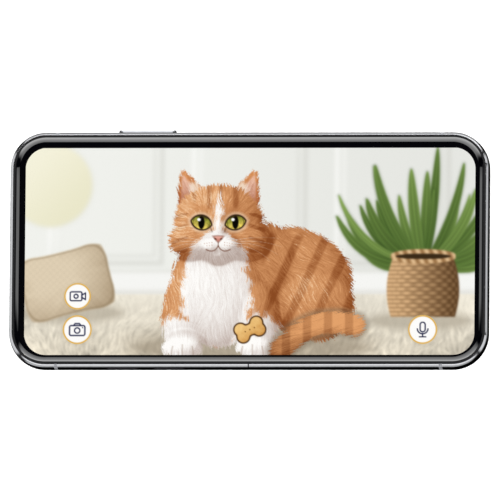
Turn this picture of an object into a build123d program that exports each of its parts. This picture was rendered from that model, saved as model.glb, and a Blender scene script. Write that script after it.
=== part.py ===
from build123d import *
import os

# A smartphone: two curved-edge glasses on a split steel frame, with sprung keys, a SIM tray, a charging
# port, and its boards, battery, speakers and cameras inside.
#
# The phone lies on its back with the display up. X runs along its length towards the charging port, Y across
# it towards the side key, and Z out of the display. The origin is the middle of the rear glass's outer face.
# All sizes are in millimetres. An inset is a distance inwards from the widest outline of the frame.

# Whole phone
LENGTH = 144.0
WIDTH = 71.4
THICKNESS = 8.1                # rear glass face to cover glass face, without the camera plateau
CORNER_RADIUS = 11.0           # of the widest outline

# Glasses and display, from the front face down
COVER_THICKNESS = 0.7
COVER_CURVE = 1.5              # width of the curved border of the cover glass
COVER_EDGE_DROP = 0.42         # how far the curve falls from the flat face to the edge
PANEL_THICKNESS = 0.65
PANEL_CLEARANCE = 0.1          # between the panel and its gasket
DISPLAY_PLATE_THICKNESS = 0.3
DISPLAY_PLATE_SETBACK = 0.6    # from the panel's edge
REAR_THICKNESS = 0.7
REAR_CURVE = 2.0
REAR_EDGE_DROP = 0.4
GLASS_CLEARANCE = 0.05         # glue gap between a glass edge and its gasket

# Frame band, bezel ring and gaskets
BAND_WALL = 2.2                # outer face to inner wall
BAND_REAR_EDGE = 0.35          # height of the band's rear lip over the rear glass face
BAND_LIP_INSET = 1.0           # inner edge of the band's rear lip
BAND_REAR_ROUND = 0.95         # height over which the rear edge is rounded
BAND_REAR_SETBACK = 0.55       # inset where that rounding starts
BAND_SIDE_SETBACK = 0.08       # inset where it ends
BAND_BULGE = 0.45              # share of the band's height at which it is widest
BAND_FRONT_SETBACK = 0.24      # inset of the band's front edge
RING_DROP = 0.5                # ring's front edge below the cover glass face
RING_HEIGHT = 0.9
RING_WIDTH = 0.86
RING_LAND = 0.08               # flat land along the ring's inner edge
RING_FOOT = 0.1                # upright foot of the ring's sloped face
RING_CROWN = 0.03              # how far that face bulges
RING_SEAM_X = 0.15             # the ring is closed here, on the rail away from the side key
RING_SEAM_GAP = 0.36
GASKET_LIP = 0.62              # gasket seen between the ring and the cover glass
GASKET_LIP_DROP = 0.05
GASKET_SHELF = 1.35            # gasket under the cover glass
REAR_GASKET_LIP = 0.3
REAR_GASKET_SHELF = 1.3
REAR_GASKET_THICKNESS = 0.25
BREAK_FROM_END = 14.3          # middle of an antenna break, from the end of the phone
BREAK_WIDTH = 1.0

# Chassis plate and its bosses
CHASSIS_THICKNESS = 0.5
BOSS_DIAMETER = 2.8
BOARD_STANDOFF = 0.6
DOCK_SHARE = 0.32              # share of the spare height at the port that lies below the dock board

# Screws
SCREW_SHANK = 1.4
SCREW_HEAD = 2.3
SCREW_HEAD_HEIGHT = 0.45
SCREW_CLEARANCE = 0.05         # round a shank
SCREW_FROM_EDGE = 2.0
SCREW_BITE = 0.25              # depth of a shank in the chassis plate
SCREW_SLOT = 0.3
SCREW_SLOT_DEPTH = 0.25

# Keys
KEY_HEIGHT = 2.4
KEY_CLEARANCE = 0.08           # round a key in its window
KEY_LIP = 0.6                  # flange beyond the key, which stops it falling out
KEY_FLANGE = 0.5
KEY_PLAY = 0.05                # flange to the band's inner wall
KEY_TRAVEL = 0.3
KEY_STOP_GAP = 0.05            # flange to the switch, fully pressed
KEY_CROWN = 0.35               # rounding of the outer face
SIDE_KEY_FROM_END = 41.2
SIDE_KEY_LENGTH = 17.2
SIDE_KEY_PROUD = 0.78
VOLUME_KEY_LENGTH = 10.4
VOLUME_KEY_PITCH = 14.0
VOLUME_KEY_PROUD = 0.12
VOLUME_KEY_CROWN = 0.05
SWITCH_LENGTH = 6.0
SWITCH_DEPTH = 1.2
SWITCH_HEIGHT = 2.6            # over the middle of a key it ends at half of this
DOME_DIAMETER = 2.0
DOME_RISE = 0.3

# Boards
BOARD_THICKNESS = 0.8
BOARD_CROSS = 24.0             # width along X of the arm that crosses the phone
BOARD_STRIP = 16.6             # width along Y of the arm beside the battery
BOARD_CORNER = 1.0
PIECE_GAP = 1.0                # room between neighbours inside
SWITCH_ROOM = 0.3
SHIELD_HEIGHT = 1.6
SHIELD_WALL = 0.15
SHIELD_MARGIN = 4.0            # board left free round the cans for the screws
SHIELD_COUNT = 3
SHIELD_GAP = 1.2
CHIP_HEIGHT = 0.9
CHIP_MARGIN = 1.6
DOCK_THICKNESS = 0.6
DOCK_LENGTH = 20.0
DOCK_WIDTH = 19.0
DOCK_ZONE = 26.0               # length of the end of the phone kept for port, speaker and motor
DISPLAY_FLEX_WIDTH = 12.0
BATTERY_FLEX_WIDTH = 8.0
FLEX_THICKNESS = 0.15
FLEX_FOOT = 3.0

# Battery and charging coil
BATTERY_SWELL_ROOM = 0.6
BATTERY_CORNER = 1.5
BATTERY_EDGE_ROUND = 0.6
TAPE_THICKNESS = 0.15
TAPE_WIDTH = 6.0
COIL_OUTER = 50.0
COIL_INNER = 24.0
COIL_THICKNESS = 0.3
FERRITE_THICKNESS = 0.25
FERRITE_MARGIN = 1.0
COIL_WINDOW_CLEARANCE = 0.5

# SIM tray
SIM_FROM_SIDE_KEY = 40.8
SIM_CARD_LENGTH = 12.3
SIM_CARD_WIDTH = 8.8
SIM_CARD_THICKNESS = 0.67
SIM_POCKET_CLEARANCE = 0.06
SIM_POCKET_WALL = 0.75
SIM_LEDGE = 0.9
SIM_TRAY_THICKNESS = 1.3
SIM_TRAY_DEPTH = 17.5
SIM_FACE_HEIGHT = 1.9
SIM_FACE_LIP = 0.5
SIM_FACE_RECESS = 0.03
SIM_FACE_CLEARANCE = 0.06
SIM_SLIDE_CLEARANCE = 0.15
SIM_READER_WALL = 0.2
SIM_READER_START = 0.4         # reader behind the band's inner wall
SIM_CARD_INSET = 4.0           # card's outer edge from the outline
EJECT_HOLE = 0.9
EJECT_HOLE_FROM_EDGE = 1.3

# Charging port
PORT_MOUTH_WIDTH = 8.34
PORT_MOUTH_HEIGHT = 2.56
PORT_SHELL = 0.3
PORT_DEPTH = 7.1
PORT_INSET = 0.9
PORT_CLEARANCE = 0.05
PORT_MOUTH_STEP = 0.2           # width and depth of the step round the mouth
TONGUE_WIDTH = 6.69
TONGUE_THICKNESS = 0.7
TONGUE_INSET = 1.6
PORT_SCREW_FROM_MIDDLE = 7.9
PORT_SCREW_HEAD = 1.7
PORT_SCREW_SHANK = 1.1
PORT_SCREW_RECESS = 0.15
PORT_SCREW_HEAD_HEIGHT = 0.5

# Speakers
GRILLE_HOLE = 1.2
GRILLE_COUNT = 6
GRILLE_MARGIN = 3.15           # row of holes to the port screw, and to the start of the corner
MIC_HOLE = 1.0
SPEAKER_LENGTH = 17.5
SPEAKER_GAP = 3.0              # speaker and motor to the dock board
SPEAKER_HEIGHT = 3.9
SPEAKER_CORNER = 2.0
SPEAKER_NOSE_HEIGHT = 2.4
SPEAKER_NOSE = 1.6
MESH_THICKNESS = 0.2
MESH_MARGIN = 0.8
EARPIECE_LENGTH = 13.0
EARPIECE_WIDTH = 5.0
EARPIECE_HEIGHT = 3.0
EARPIECE_CORNER = 1.0

# Vibration motor
MOTOR_LENGTH = 13.0            # along X
MOTOR_HEIGHT = 4.0
MOTOR_WALL = 0.3
MOTOR_CLEARANCE = 0.1
MOTOR_TRAVEL = 0.6             # each way
MOTOR_END_ROOM = 0.3

# How far a cut runs past the faces it opens
CUT_REACH = 3.0

# Rear camera
CAMERA_FROM_END = 18.0
CAMERA_PITCH = 14.0            # between the two lenses, along Y
PLATEAU_END = 8.0              # beyond the middle of a lens
PLATEAU_WIDTH = 13.0
PLATEAU_RISE = 0.7
PLATEAU_ROUND = 0.3
PLATEAU_CLEARANCE = 0.08
LENS_DIAMETER = 8.6
LENS_THICKNESS = 0.5
LENS_RECESS = 0.1
LENS_CLEARANCE = 0.05
FLASH_DIAMETER = 3.4
BARREL_DIAMETER = 6.6
BARREL_CLEARANCE = 0.2
BARREL_LENGTH = 3.4
BARREL_APERTURE = 3.2
BARREL_APERTURE_DEPTH = 1.2
FOCUS_TRAVEL = 0.25
FOCUS_ROOM = 0.25              # between a lens and its barrel, fully forward
HOUSING_END = 6.5              # beyond the middle of a lens
HOUSING_WIDTH = 11.0
HOUSING_CORNER = 0.8
HOUSING_HEADROOM = 0.4
BORE_END_ROOM = 0.3

# Heights and insets that follow from the sizes above
COVER_BACK = THICKNESS - COVER_THICKNESS
PANEL_BACK = COVER_BACK - PANEL_THICKNESS
DISPLAY_BACK = PANEL_BACK - DISPLAY_PLATE_THICKNESS
RING_TOP = THICKNESS - RING_DROP
BAND_TOP = RING_TOP - RING_HEIGHT
CHASSIS_BACK = REAR_THICKNESS + REAR_GASKET_THICKNESS
FLOOR = CHASSIS_BACK + CHASSIS_THICKNESS
RING_INNER = BAND_FRONT_SETBACK + RING_WIDTH
COVER_EDGE = RING_INNER + GASKET_LIP + GLASS_CLEARANCE
GASKET_INNER = RING_INNER + GASKET_LIP + GASKET_SHELF
PANEL_INSET = GASKET_INNER + PANEL_CLEARANCE
REAR_EDGE = BAND_LIP_INSET + REAR_GASKET_LIP + GLASS_CLEARANCE
BREAK_X = LENGTH / 2 - BREAK_FROM_END
KEY_Z = (FLOOR + BAND_TOP) / 2
FLANGE_INSET = BAND_WALL + KEY_PLAY
SWITCH_INSET = FLANGE_INSET + KEY_FLANGE + KEY_TRAVEL + KEY_STOP_GAP
SIDE_KEY_X = SIDE_KEY_FROM_END - LENGTH / 2
CAMERA_X = CAMERA_FROM_END - LENGTH / 2
LENS_BACK = LENS_RECESS - PLATEAU_RISE + LENS_THICKNESS
BARREL_START = LENS_BACK + FOCUS_TRAVEL + FOCUS_ROOM
LENS_PLACES = [(CAMERA_X, side * CAMERA_PITCH / 2) for side in (-1, 1)]
BOARD_BACK = FLOOR + BOARD_STANDOFF
BOARD_TOP = BOARD_BACK + BOARD_THICKNESS
BOARD_EDGE = WIDTH / 2 - SWITCH_INSET - SWITCH_DEPTH - SWITCH_ROOM
BOARD_START = CAMERA_X + HOUSING_WIDTH / 2 + PIECE_GAP
BOARD_BEND = BOARD_START + BOARD_CROSS
DOCK_START = LENGTH / 2 - DOCK_ZONE
BOARD_END = DOCK_START - PIECE_GAP
PORT_HEIGHT = PORT_MOUTH_HEIGHT + 2 * PORT_SHELL
DOCK_BACK = FLOOR + DOCK_SHARE * (DISPLAY_BACK - FLOOR - DOCK_THICKNESS - PORT_HEIGHT)
DOCK_TOP = DOCK_BACK + DOCK_THICKNESS
PORT_Z = DOCK_TOP + PORT_HEIGHT / 2
SIM_X = SIDE_KEY_X + SIM_FROM_SIDE_KEY
SIM_TRAY_WIDTH = SIM_CARD_LENGTH + 2 * SIM_POCKET_WALL
SIM_Z = BOARD_TOP + SIM_READER_WALL + SIM_SLIDE_CLEARANCE + SIM_TRAY_THICKNESS / 2
VOLUME_KEY_X = {
    "volume_up_key": SIDE_KEY_X - VOLUME_KEY_PITCH / 2,
    "volume_down_key": SIDE_KEY_X + VOLUME_KEY_PITCH / 2,
}
SIDE_KEY_RAIL, VOLUME_RAIL = 1, -1


def outline(inset):
    """The housing's outline at an inset, as a sketch on the XY plane."""
    return RectangleRounded(LENGTH - 2 * inset, WIDTH - 2 * inset, CORNER_RADIUS - inset)


def plate(inset, low, high):
    """A flat plate with the housing's outline, between two heights."""
    return Pos(0, 0, low) * extrude(outline(inset), amount=high - low)


def around(edges):
    """A ring whose section, given as edges in (inset, height), is carried once round the housing."""
    start = Plane(origin=(0, -WIDTH / 2, 0), x_dir=(0, 1, 0), z_dir=(1, 0, 0))
    return sweep(sections=start * make_face(edges), path=outline(0).face().outer_wire())


def block(x_range, y_range, z_range, corner=0.0):
    """A box between limits, with its upright edges rounded if a corner radius is given."""
    length, width, height = (high - low for low, high in (x_range, y_range, z_range))
    base = RectangleRounded(length, width, corner) if corner else Rectangle(length, width)
    middle = Pos(sum(x_range) / 2, sum(y_range) / 2, z_range[0])
    return middle * extrude(base, amount=height)


def post(place, diameter, low, high):
    """An upright cylinder between two heights."""
    return Pos(*place, low) * extrude(Circle(diameter / 2), amount=high - low)


def pill(length, height):
    """A pill shape, or a circle where it is no longer than it is high."""
    return SlotOverall(length, height) if length > height else Circle(height / 2)


def rail_prism(side, x, z, length, height, outer, inner):
    """A pill-shaped bar through a long rail, from an outer inset to an inner one."""
    ends = sorted(side * (WIDTH / 2 - inset) for inset in (outer, inner))
    face = Plane(origin=(x, ends[0], z), x_dir=(1, 0, 0), z_dir=(0, 1, 0))
    return extrude(face * pill(length, height), amount=ends[1] - ends[0])


def end_prism(y, z, length, height, outer, inner):
    """A pill-shaped bar through the port end, from an outer inset to an inner one."""
    face = Plane(origin=(LENGTH / 2 - inner, y, z), x_dir=(0, 1, 0), z_dir=(1, 0, 0))
    return extrude(face * pill(length, height), amount=inner - outer)


def group(shapes):
    """Several separate solids as one node."""
    return Compound([solid for shape in shapes for solid in shape.solids()])


# Frame: band, ring, antenna breaks ------------------------------------------------------------------------


def band_edges():
    """Section of the band: rounded rear edge, gently bulging side, flat front face and inner wall."""
    rear = Vector(BAND_REAR_SETBACK, BAND_REAR_EDGE)
    side = Vector(BAND_SIDE_SETBACK, BAND_REAR_EDGE + BAND_REAR_ROUND)
    front = Vector(BAND_FRONT_SETBACK, BAND_TOP)
    widest = Vector(0, BAND_REAR_EDGE + BAND_BULGE * (BAND_TOP - BAND_REAR_EDGE))
    inside = Polyline(
        (BAND_FRONT_SETBACK, BAND_TOP),
        (BAND_WALL, BAND_TOP),
        (BAND_WALL, CHASSIS_BACK),
        (BAND_LIP_INSET, CHASSIS_BACK),
        (BAND_LIP_INSET, BAND_REAR_EDGE),
        (BAND_REAR_SETBACK, BAND_REAR_EDGE),
    )
    rounding = TangentArc(side, rear, tangent=(0, -1))
    return [rounding, ThreePointArc(side, widest, front), inside]


def ring_edges():
    """Section of the polished ring: a crowned slope between a short foot and a narrow flat land."""
    foot = Vector(BAND_FRONT_SETBACK, BAND_TOP + RING_FOOT)
    land = Vector(RING_INNER - RING_LAND, RING_TOP)
    outwards = Vector(foot.Y - land.Y, land.X - foot.X).normalized()
    crown = (foot + land) / 2 + outwards * RING_CROWN
    inner_side = [(RING_INNER, RING_TOP), (RING_INNER, BAND_TOP)]
    rest = Polyline(land, *inner_side, (BAND_FRONT_SETBACK, BAND_TOP), foot)
    return [ThreePointArc(foot, crown, land), rest]


def stretch(ring, start, end, side=0):
    """The part of a ring between two planes across X, on one side of the middle if a side is given."""
    y_range = {0: (-WIDTH, WIDTH), 1: (0, WIDTH), -1: (-WIDTH, 0)}[side]
    return ring & block((start, end), y_range, (-THICKNESS, 2 * THICKNESS))


def antenna_breaks(band, ring):
    """Polymer stops that part the rails from the ends, through band and ring alike."""
    pieces = []
    for middle in (-BREAK_X, BREAK_X):
        for side in (SIDE_KEY_RAIL, VOLUME_RAIL):
            limits = (middle - BREAK_WIDTH / 2, middle + BREAK_WIDTH / 2, side)
            pieces.append(stretch(band, *limits) + stretch(ring, *limits))
    return group(pieces)


def bezel_ring(ring):
    """The ring in five lengths: two ends, one long rail, and the other long rail closed at a seam."""
    inner_end = BREAK_X - BREAK_WIDTH / 2
    outer_end = BREAK_X + BREAK_WIDTH / 2
    lengths = [
        stretch(ring, -LENGTH, -outer_end),
        stretch(ring, outer_end, LENGTH),
        stretch(ring, -inner_end, inner_end, SIDE_KEY_RAIL),
        stretch(ring, -inner_end, RING_SEAM_X - RING_SEAM_GAP / 2, VOLUME_RAIL),
        stretch(ring, RING_SEAM_X + RING_SEAM_GAP / 2, inner_end, VOLUME_RAIL),
    ]
    return group(lengths)


def key_window(side, x, length):
    """Window in a rail for one key."""
    grow = 2 * KEY_CLEARANCE
    return rail_prism(side, x, KEY_Z, length + grow, KEY_HEIGHT + grow, -CUT_REACH, BAND_WALL + CUT_REACH)


def upper_rail(band):
    """Rail with the side key's window and the SIM tray's slot."""
    inner_end = BREAK_X - BREAK_WIDTH / 2
    rail = stretch(band, -inner_end, inner_end, SIDE_KEY_RAIL)
    rail -= key_window(SIDE_KEY_RAIL, SIDE_KEY_X, SIDE_KEY_LENGTH)
    grow = 2 * SIM_FACE_CLEARANCE
    slot = (SIM_TRAY_WIDTH + 2 * SIM_FACE_LIP + grow, SIM_FACE_HEIGHT + grow)
    return rail - rail_prism(SIDE_KEY_RAIL, SIM_X, SIM_Z, *slot, -CUT_REACH, BAND_WALL + CUT_REACH)


def lower_rail(band):
    """Rail with the two volume keys' windows."""
    inner_end = BREAK_X - BREAK_WIDTH / 2
    rail = stretch(band, -inner_end, inner_end, VOLUME_RAIL)
    for x in VOLUME_KEY_X.values():
        rail -= key_window(VOLUME_RAIL, x, VOLUME_KEY_LENGTH)
    return rail


def grille_limits():
    """First and last sound hole along Y, between the port screw and the corner."""
    straight_end = WIDTH / 2 - CORNER_RADIUS
    return -PORT_SCREW_FROM_MIDDLE - GRILLE_MARGIN, GRILLE_MARGIN - straight_end


def grille_holes():
    """Places of the loudspeaker's sound holes along Y."""
    first, last = grille_limits()
    pitch = (last - first) / (GRILLE_COUNT - 1)
    return [first + pitch * number for number in range(GRILLE_COUNT)]


def grille_strip():
    """Middle and length of a strip that covers the sound holes."""
    first, last = grille_limits()
    return (first + last) / 2, first - last + GRILLE_HOLE + 2 * MESH_MARGIN


def right_end_band(band):
    """Port end of the frame: stepped port mouth, sound holes, microphone hole and two screw seats."""
    end = stretch(band, BREAK_X + BREAK_WIDTH / 2, LENGTH)
    outside, inside = -CUT_REACH, BAND_WALL + CUT_REACH
    end -= end_prism(0, PORT_Z, PORT_MOUTH_WIDTH, PORT_MOUTH_HEIGHT, outside, inside)
    mouth = (PORT_MOUTH_WIDTH, PORT_MOUTH_HEIGHT)
    shell = [size + 2 * (PORT_SHELL + PORT_CLEARANCE) for size in mouth]
    end -= end_prism(0, PORT_Z, *shell, PORT_INSET, inside)
    flare = [size + 2 * PORT_MOUTH_STEP for size in mouth]
    end -= end_prism(0, PORT_Z, *flare, outside, PORT_MOUTH_STEP)
    for y in grille_holes():
        end -= end_prism(y, PORT_Z, GRILLE_HOLE, GRILLE_HOLE, outside, inside)
    end -= end_prism(-grille_limits()[0], PORT_Z, MIC_HOLE, MIC_HOLE, outside, inside)
    for side in (-1, 1):
        y = side * PORT_SCREW_FROM_MIDDLE
        head, shank = PORT_SCREW_HEAD + 2 * SCREW_CLEARANCE, PORT_SCREW_SHANK + 2 * SCREW_CLEARANCE
        seat = PORT_SCREW_RECESS + PORT_SCREW_HEAD_HEIGHT
        end -= end_prism(y, PORT_Z, head, head, outside, seat)
        end -= end_prism(y, PORT_Z, shank, shank, seat, inside)
    return end


def port_screws():
    """Two slotted screws beside the port, with their heads just below the surface."""
    screws = []
    seat = PORT_SCREW_RECESS + PORT_SCREW_HEAD_HEIGHT
    for side in (-1, 1):
        y = side * PORT_SCREW_FROM_MIDDLE
        screw = end_prism(y, PORT_Z, PORT_SCREW_HEAD, PORT_SCREW_HEAD, PORT_SCREW_RECESS, seat)
        screw += end_prism(y, PORT_Z, PORT_SCREW_SHANK, PORT_SCREW_SHANK, seat, BAND_WALL)
        face = LENGTH / 2 - PORT_SCREW_RECESS
        slot = (face - SCREW_SLOT_DEPTH, face + SCREW_SLOT_DEPTH)
        for length, height in ((PORT_SCREW_HEAD / 2, SCREW_SLOT), (SCREW_SLOT, PORT_SCREW_HEAD / 2)):
            y_range = (y - length / 2, y + length / 2)
            screw -= block(slot, y_range, (PORT_Z - height / 2, PORT_Z + height / 2))
        screws.append(screw)
    return group(screws)


# Glasses, gaskets, display --------------------------------------------------------------------------------


def curved_glass(edge, curve, face, drop, back):
    """A glass whose border curves from its flat face down to its edge, on a circle tangent to the face."""
    flat = edge + curve
    brink = Vector(edge, face - drop)
    crest = Vector(flat, face)
    border = Polyline(crest, (flat, back), (edge, back), brink)
    rim = around([TangentArc(crest, brink, tangent=(-1, 0)), border])
    return plate(flat, min(face, back), max(face, back)) + rim


def rear_glass():
    """Rear glass with the camera plateau's window."""
    glass = curved_glass(REAR_EDGE, REAR_CURVE, 0, -REAR_EDGE_DROP, REAR_THICKNESS)
    return glass - plateau_prism(PLATEAU_CLEARANCE, -PLATEAU_RISE, FLOOR)


def display_gasket():
    """Black seal that carries the cover glass: a lip round its edge and a shelf under it."""
    lip_inner = RING_INNER + GASKET_LIP
    lip_top = RING_TOP - GASKET_LIP_DROP
    points = [
        (RING_INNER, BAND_TOP), (RING_INNER, lip_top), (lip_inner, lip_top), (lip_inner, COVER_BACK),
        (GASKET_INNER, COVER_BACK), (GASKET_INNER, BAND_TOP),
    ]
    return around([Polyline(*points, close=True)])


def rear_gasket():
    """Black seal between the rear glass and the frame."""
    lip_inner = BAND_LIP_INSET + REAR_GASKET_LIP
    shelf_inner = lip_inner + REAR_GASKET_SHELF
    points = [
        (BAND_LIP_INSET, BAND_REAR_EDGE), (BAND_LIP_INSET, CHASSIS_BACK), (shelf_inner, CHASSIS_BACK),
        (shelf_inner, REAR_THICKNESS), (lip_inner, REAR_THICKNESS), (lip_inner, BAND_REAR_EDGE),
    ]
    return around([Polyline(*points, close=True)])


# Chassis, boards, battery ---------------------------------------------------------------------------------


def board_screw_places():
    """Where the main board's screws stand: the corners of its two arms."""
    far = BOARD_EDGE - SCREW_FROM_EDGE
    near_x, bend_x = BOARD_START + SCREW_FROM_EDGE, BOARD_BEND - SCREW_FROM_EDGE
    return [(near_x, far), (near_x, -far), (bend_x, -far), (BOARD_END - SCREW_FROM_EDGE, far)]


def dock_board_x():
    """Limits of the dock board along X."""
    end = LENGTH / 2 - BAND_WALL - PIECE_GAP
    return (end - DOCK_LENGTH, end)


def dock_screw_places():
    """Where the dock board's screws stand."""
    x = dock_board_x()[0] + SCREW_FROM_EDGE
    return [(x, side * (DOCK_WIDTH / 2 - SCREW_FROM_EDGE)) for side in (-1, 1)]


def coil_place():
    """Middle of the charging coil, under the battery."""
    return ((BOARD_BEND + BOARD_END) / 2, 0)


def chassis_plate():
    """Plate that joins the rails, with bosses for the boards and windows for the cameras, flash and coil."""
    chassis = plate(BAND_WALL, CHASSIS_BACK, FLOOR)
    for places, top in ((board_screw_places(), BOARD_BACK), (dock_screw_places(), DOCK_BACK)):
        for place in places:
            chassis += post(place, BOSS_DIAMETER, CHASSIS_BACK, top)
            chassis -= post(place, SCREW_SHANK + 2 * SCREW_CLEARANCE, FLOOR - SCREW_BITE, top)
    for place in LENS_PLACES:
        chassis -= post(place, BARREL_DIAMETER + 2 * BARREL_CLEARANCE, 0, THICKNESS)
    chassis -= post((CAMERA_X, 0), FLASH_DIAMETER, 0, THICKNESS)
    window = COIL_OUTER + 2 * (FERRITE_MARGIN + COIL_WINDOW_CLEARANCE)
    return chassis - post(coil_place(), window, 0, THICKNESS)


def screw(place, top, bottom):
    """A cross-slotted screw, its head on top of a board and its shank down to a depth."""
    head_top = top + SCREW_HEAD_HEIGHT
    body = post(place, SCREW_HEAD, top, head_top) + post(place, SCREW_SHANK, bottom, top)
    x, y = place
    for length, width in ((SCREW_HEAD / 2, SCREW_SLOT), (SCREW_SLOT, SCREW_HEAD / 2)):
        x_range, y_range = (x - length / 2, x + length / 2), (y - width / 2, y + width / 2)
        body -= block(x_range, y_range, (head_top - SCREW_SLOT_DEPTH, head_top + SCREW_SLOT_DEPTH))
    return body


def chassis_screws():
    """The screws that hold both boards to the chassis."""
    bottom = FLOOR - SCREW_BITE + SCREW_CLEARANCE
    main = [screw(place, BOARD_TOP, bottom) for place in board_screw_places()]
    return group(main + [screw(place, DOCK_TOP, bottom) for place in dock_screw_places()])


def logic_board():
    """L-shaped main board: one arm across the phone, the other beside the battery under the SIM reader."""
    heights = (BOARD_BACK, BOARD_TOP)
    board = block((BOARD_START, BOARD_BEND), (-BOARD_EDGE, BOARD_EDGE), heights, BOARD_CORNER)
    board += block((BOARD_START, BOARD_END), (BOARD_EDGE - BOARD_STRIP, BOARD_EDGE), heights, BOARD_CORNER)
    for place in board_screw_places():
        board -= post(place, SCREW_SHANK + 2 * SCREW_CLEARANCE, BOARD_BACK, BOARD_TOP)
    return board


def shield_limits():
    """Limits in X and Y of each shield can, evenly spaced over the arm that crosses the phone."""
    room = 2 * (BOARD_EDGE - SHIELD_MARGIN) - (SHIELD_COUNT - 1) * SHIELD_GAP
    width = room / SHIELD_COUNT
    x_range = (BOARD_START + SHIELD_MARGIN, BOARD_BEND - SHIELD_MARGIN)
    starts = [SHIELD_MARGIN - BOARD_EDGE + number * (width + SHIELD_GAP) for number in range(SHIELD_COUNT)]
    return [(x_range, (start, start + width)) for start in starts]


def shrink(limits, margin):
    """Limits drawn in by a margin at both ends."""
    return (limits[0] + margin, limits[1] - margin)


def board_shields():
    """Steel cans over the chips, open towards the board."""
    cans = []
    for x_range, y_range in shield_limits():
        can = block(x_range, y_range, (BOARD_TOP, BOARD_TOP + SHIELD_HEIGHT), BOARD_CORNER)
        inside = (BOARD_TOP, BOARD_TOP + SHIELD_HEIGHT - SHIELD_WALL)
        cans.append(can - block(shrink(x_range, SHIELD_WALL), shrink(y_range, SHIELD_WALL), inside))
    return group(cans)


def board_chips():
    """One packaged chip in each can."""
    heights = (BOARD_TOP, BOARD_TOP + CHIP_HEIGHT)
    limits = shield_limits()
    return group(block(shrink(x, CHIP_MARGIN), shrink(y, CHIP_MARGIN), heights) for x, y in limits)


def battery_limits():
    """Limits of the battery: between the cross arm and the dock, beside the board's strip."""
    x_range = (BOARD_BEND + PIECE_GAP, BOARD_END)
    y_range = (-BOARD_EDGE, BOARD_EDGE - BOARD_STRIP - PIECE_GAP)
    return x_range, y_range, (FLOOR + TAPE_THICKNESS, DISPLAY_BACK - BATTERY_SWELL_ROOM)


def battery():
    """Pouch cell with rounded edges."""
    cell = block(*battery_limits(), BATTERY_CORNER)
    return fillet(cell.edges().filter_by(Axis.X), BATTERY_EDGE_ROUND)


def battery_tape():
    """Two strips of pull-out tape under the battery, clear of the coil's window."""
    x_range, y_range, _ = battery_limits()
    width = min(TAPE_WIDTH, (BOARD_EDGE - COIL_OUTER / 2) / 2)
    reach = (x_range[1] - x_range[0]) / 4
    strips = [(x_range[0], x_range[0] + reach), (x_range[1] - reach, x_range[1])]
    y_limits = (y_range[0] + BATTERY_EDGE_ROUND, y_range[0] + BATTERY_EDGE_ROUND + width)
    return group(block(limits, y_limits, (FLOOR, FLOOR + TAPE_THICKNESS)) for limits in strips)


def battery_flex():
    """Ribbon from the battery's end to the main board."""
    x_range, y_range, z_range = battery_limits()
    middle = sum(y_range) / 2
    across = (middle - BATTERY_FLEX_WIDTH / 2, middle + BATTERY_FLEX_WIDTH / 2)
    along = (x_range[0] - PIECE_GAP - FLEX_FOOT, x_range[0])
    return block(along, across, (BOARD_TOP, BOARD_TOP + FLEX_THICKNESS))


def display_flex():
    """Ribbon from the back of the display down to a foot on the main board."""
    across = (-DISPLAY_FLEX_WIDTH / 2, DISPLAY_FLEX_WIDTH / 2)
    x = BOARD_START + SHIELD_MARGIN - FLEX_THICKNESS
    riser = block((x - FLEX_THICKNESS, x), across, (BOARD_TOP, DISPLAY_BACK))
    foot = block((x - FLEX_FOOT, x), across, (BOARD_TOP, BOARD_TOP + FLEX_THICKNESS))
    return riser + foot


def coil_ring(outer, inner, low, thickness):
    """A flat ring or disc over the middle of the charging coil."""
    ring = post(coil_place(), outer, low, low + thickness)
    return ring - post(coil_place(), inner, low, low + thickness) if inner else ring


def dock_board():
    """Small board that carries the charging port."""
    x_range = dock_board_x()
    board = block(x_range, (-DOCK_WIDTH / 2, DOCK_WIDTH / 2), (DOCK_BACK, DOCK_TOP), BOARD_CORNER)
    for place in dock_screw_places():
        board -= post(place, SCREW_SHANK + 2 * SCREW_CLEARANCE, DOCK_BACK, DOCK_TOP)
    return board


# Keys and switches ----------------------------------------------------------------------------------------


def key(side, x, length, proud, crown):
    """A key: rounded outside, straight through its window, with a flange inside that keeps it in."""
    stem = rail_prism(side, x, KEY_Z, length, KEY_HEIGHT, -proud, FLANGE_INSET)
    outer_face = stem.faces().sort_by(Axis.Y)[-1 if side > 0 else 0]
    stem = fillet(outer_face.edges(), crown)
    grow = 2 * KEY_LIP
    flange = (length + grow, KEY_HEIGHT + grow)
    return stem + rail_prism(side, x, KEY_Z, *flange, FLANGE_INSET, FLANGE_INSET + KEY_FLANGE)


def key_switch(side, x):
    """Dome switch behind a key, on a block that stands on the chassis."""
    insets = (SWITCH_INSET + DOME_RISE, SWITCH_INSET + SWITCH_DEPTH)
    y_range = sorted(side * (WIDTH / 2 - inset) for inset in insets)
    x_range = (x - SWITCH_LENGTH / 2, x + SWITCH_LENGTH / 2)
    body = block(x_range, y_range, (FLOOR, KEY_Z + SWITCH_HEIGHT / 2))
    dome = (SWITCH_INSET, SWITCH_INSET + DOME_RISE)
    return body + rail_prism(side, x, KEY_Z, DOME_DIAMETER, DOME_DIAMETER, *dome)


# SIM tray -------------------------------------------------------------------------------------------------


def sim_card_limits(grow=0.0):
    """Limits in X and Y of the card in its pocket."""
    outer = WIDTH / 2 - SIM_CARD_INSET
    x_range = (SIM_X - SIM_CARD_LENGTH / 2 - grow, SIM_X + SIM_CARD_LENGTH / 2 + grow)
    return x_range, (outer - SIM_CARD_WIDTH - grow, outer + grow)


def sim_card():
    """Card, flush with the top of its tray."""
    top = SIM_Z + SIM_TRAY_THICKNESS / 2
    return block(*sim_card_limits(), (top - SIM_CARD_THICKNESS, top), SIM_LEDGE)


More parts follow.
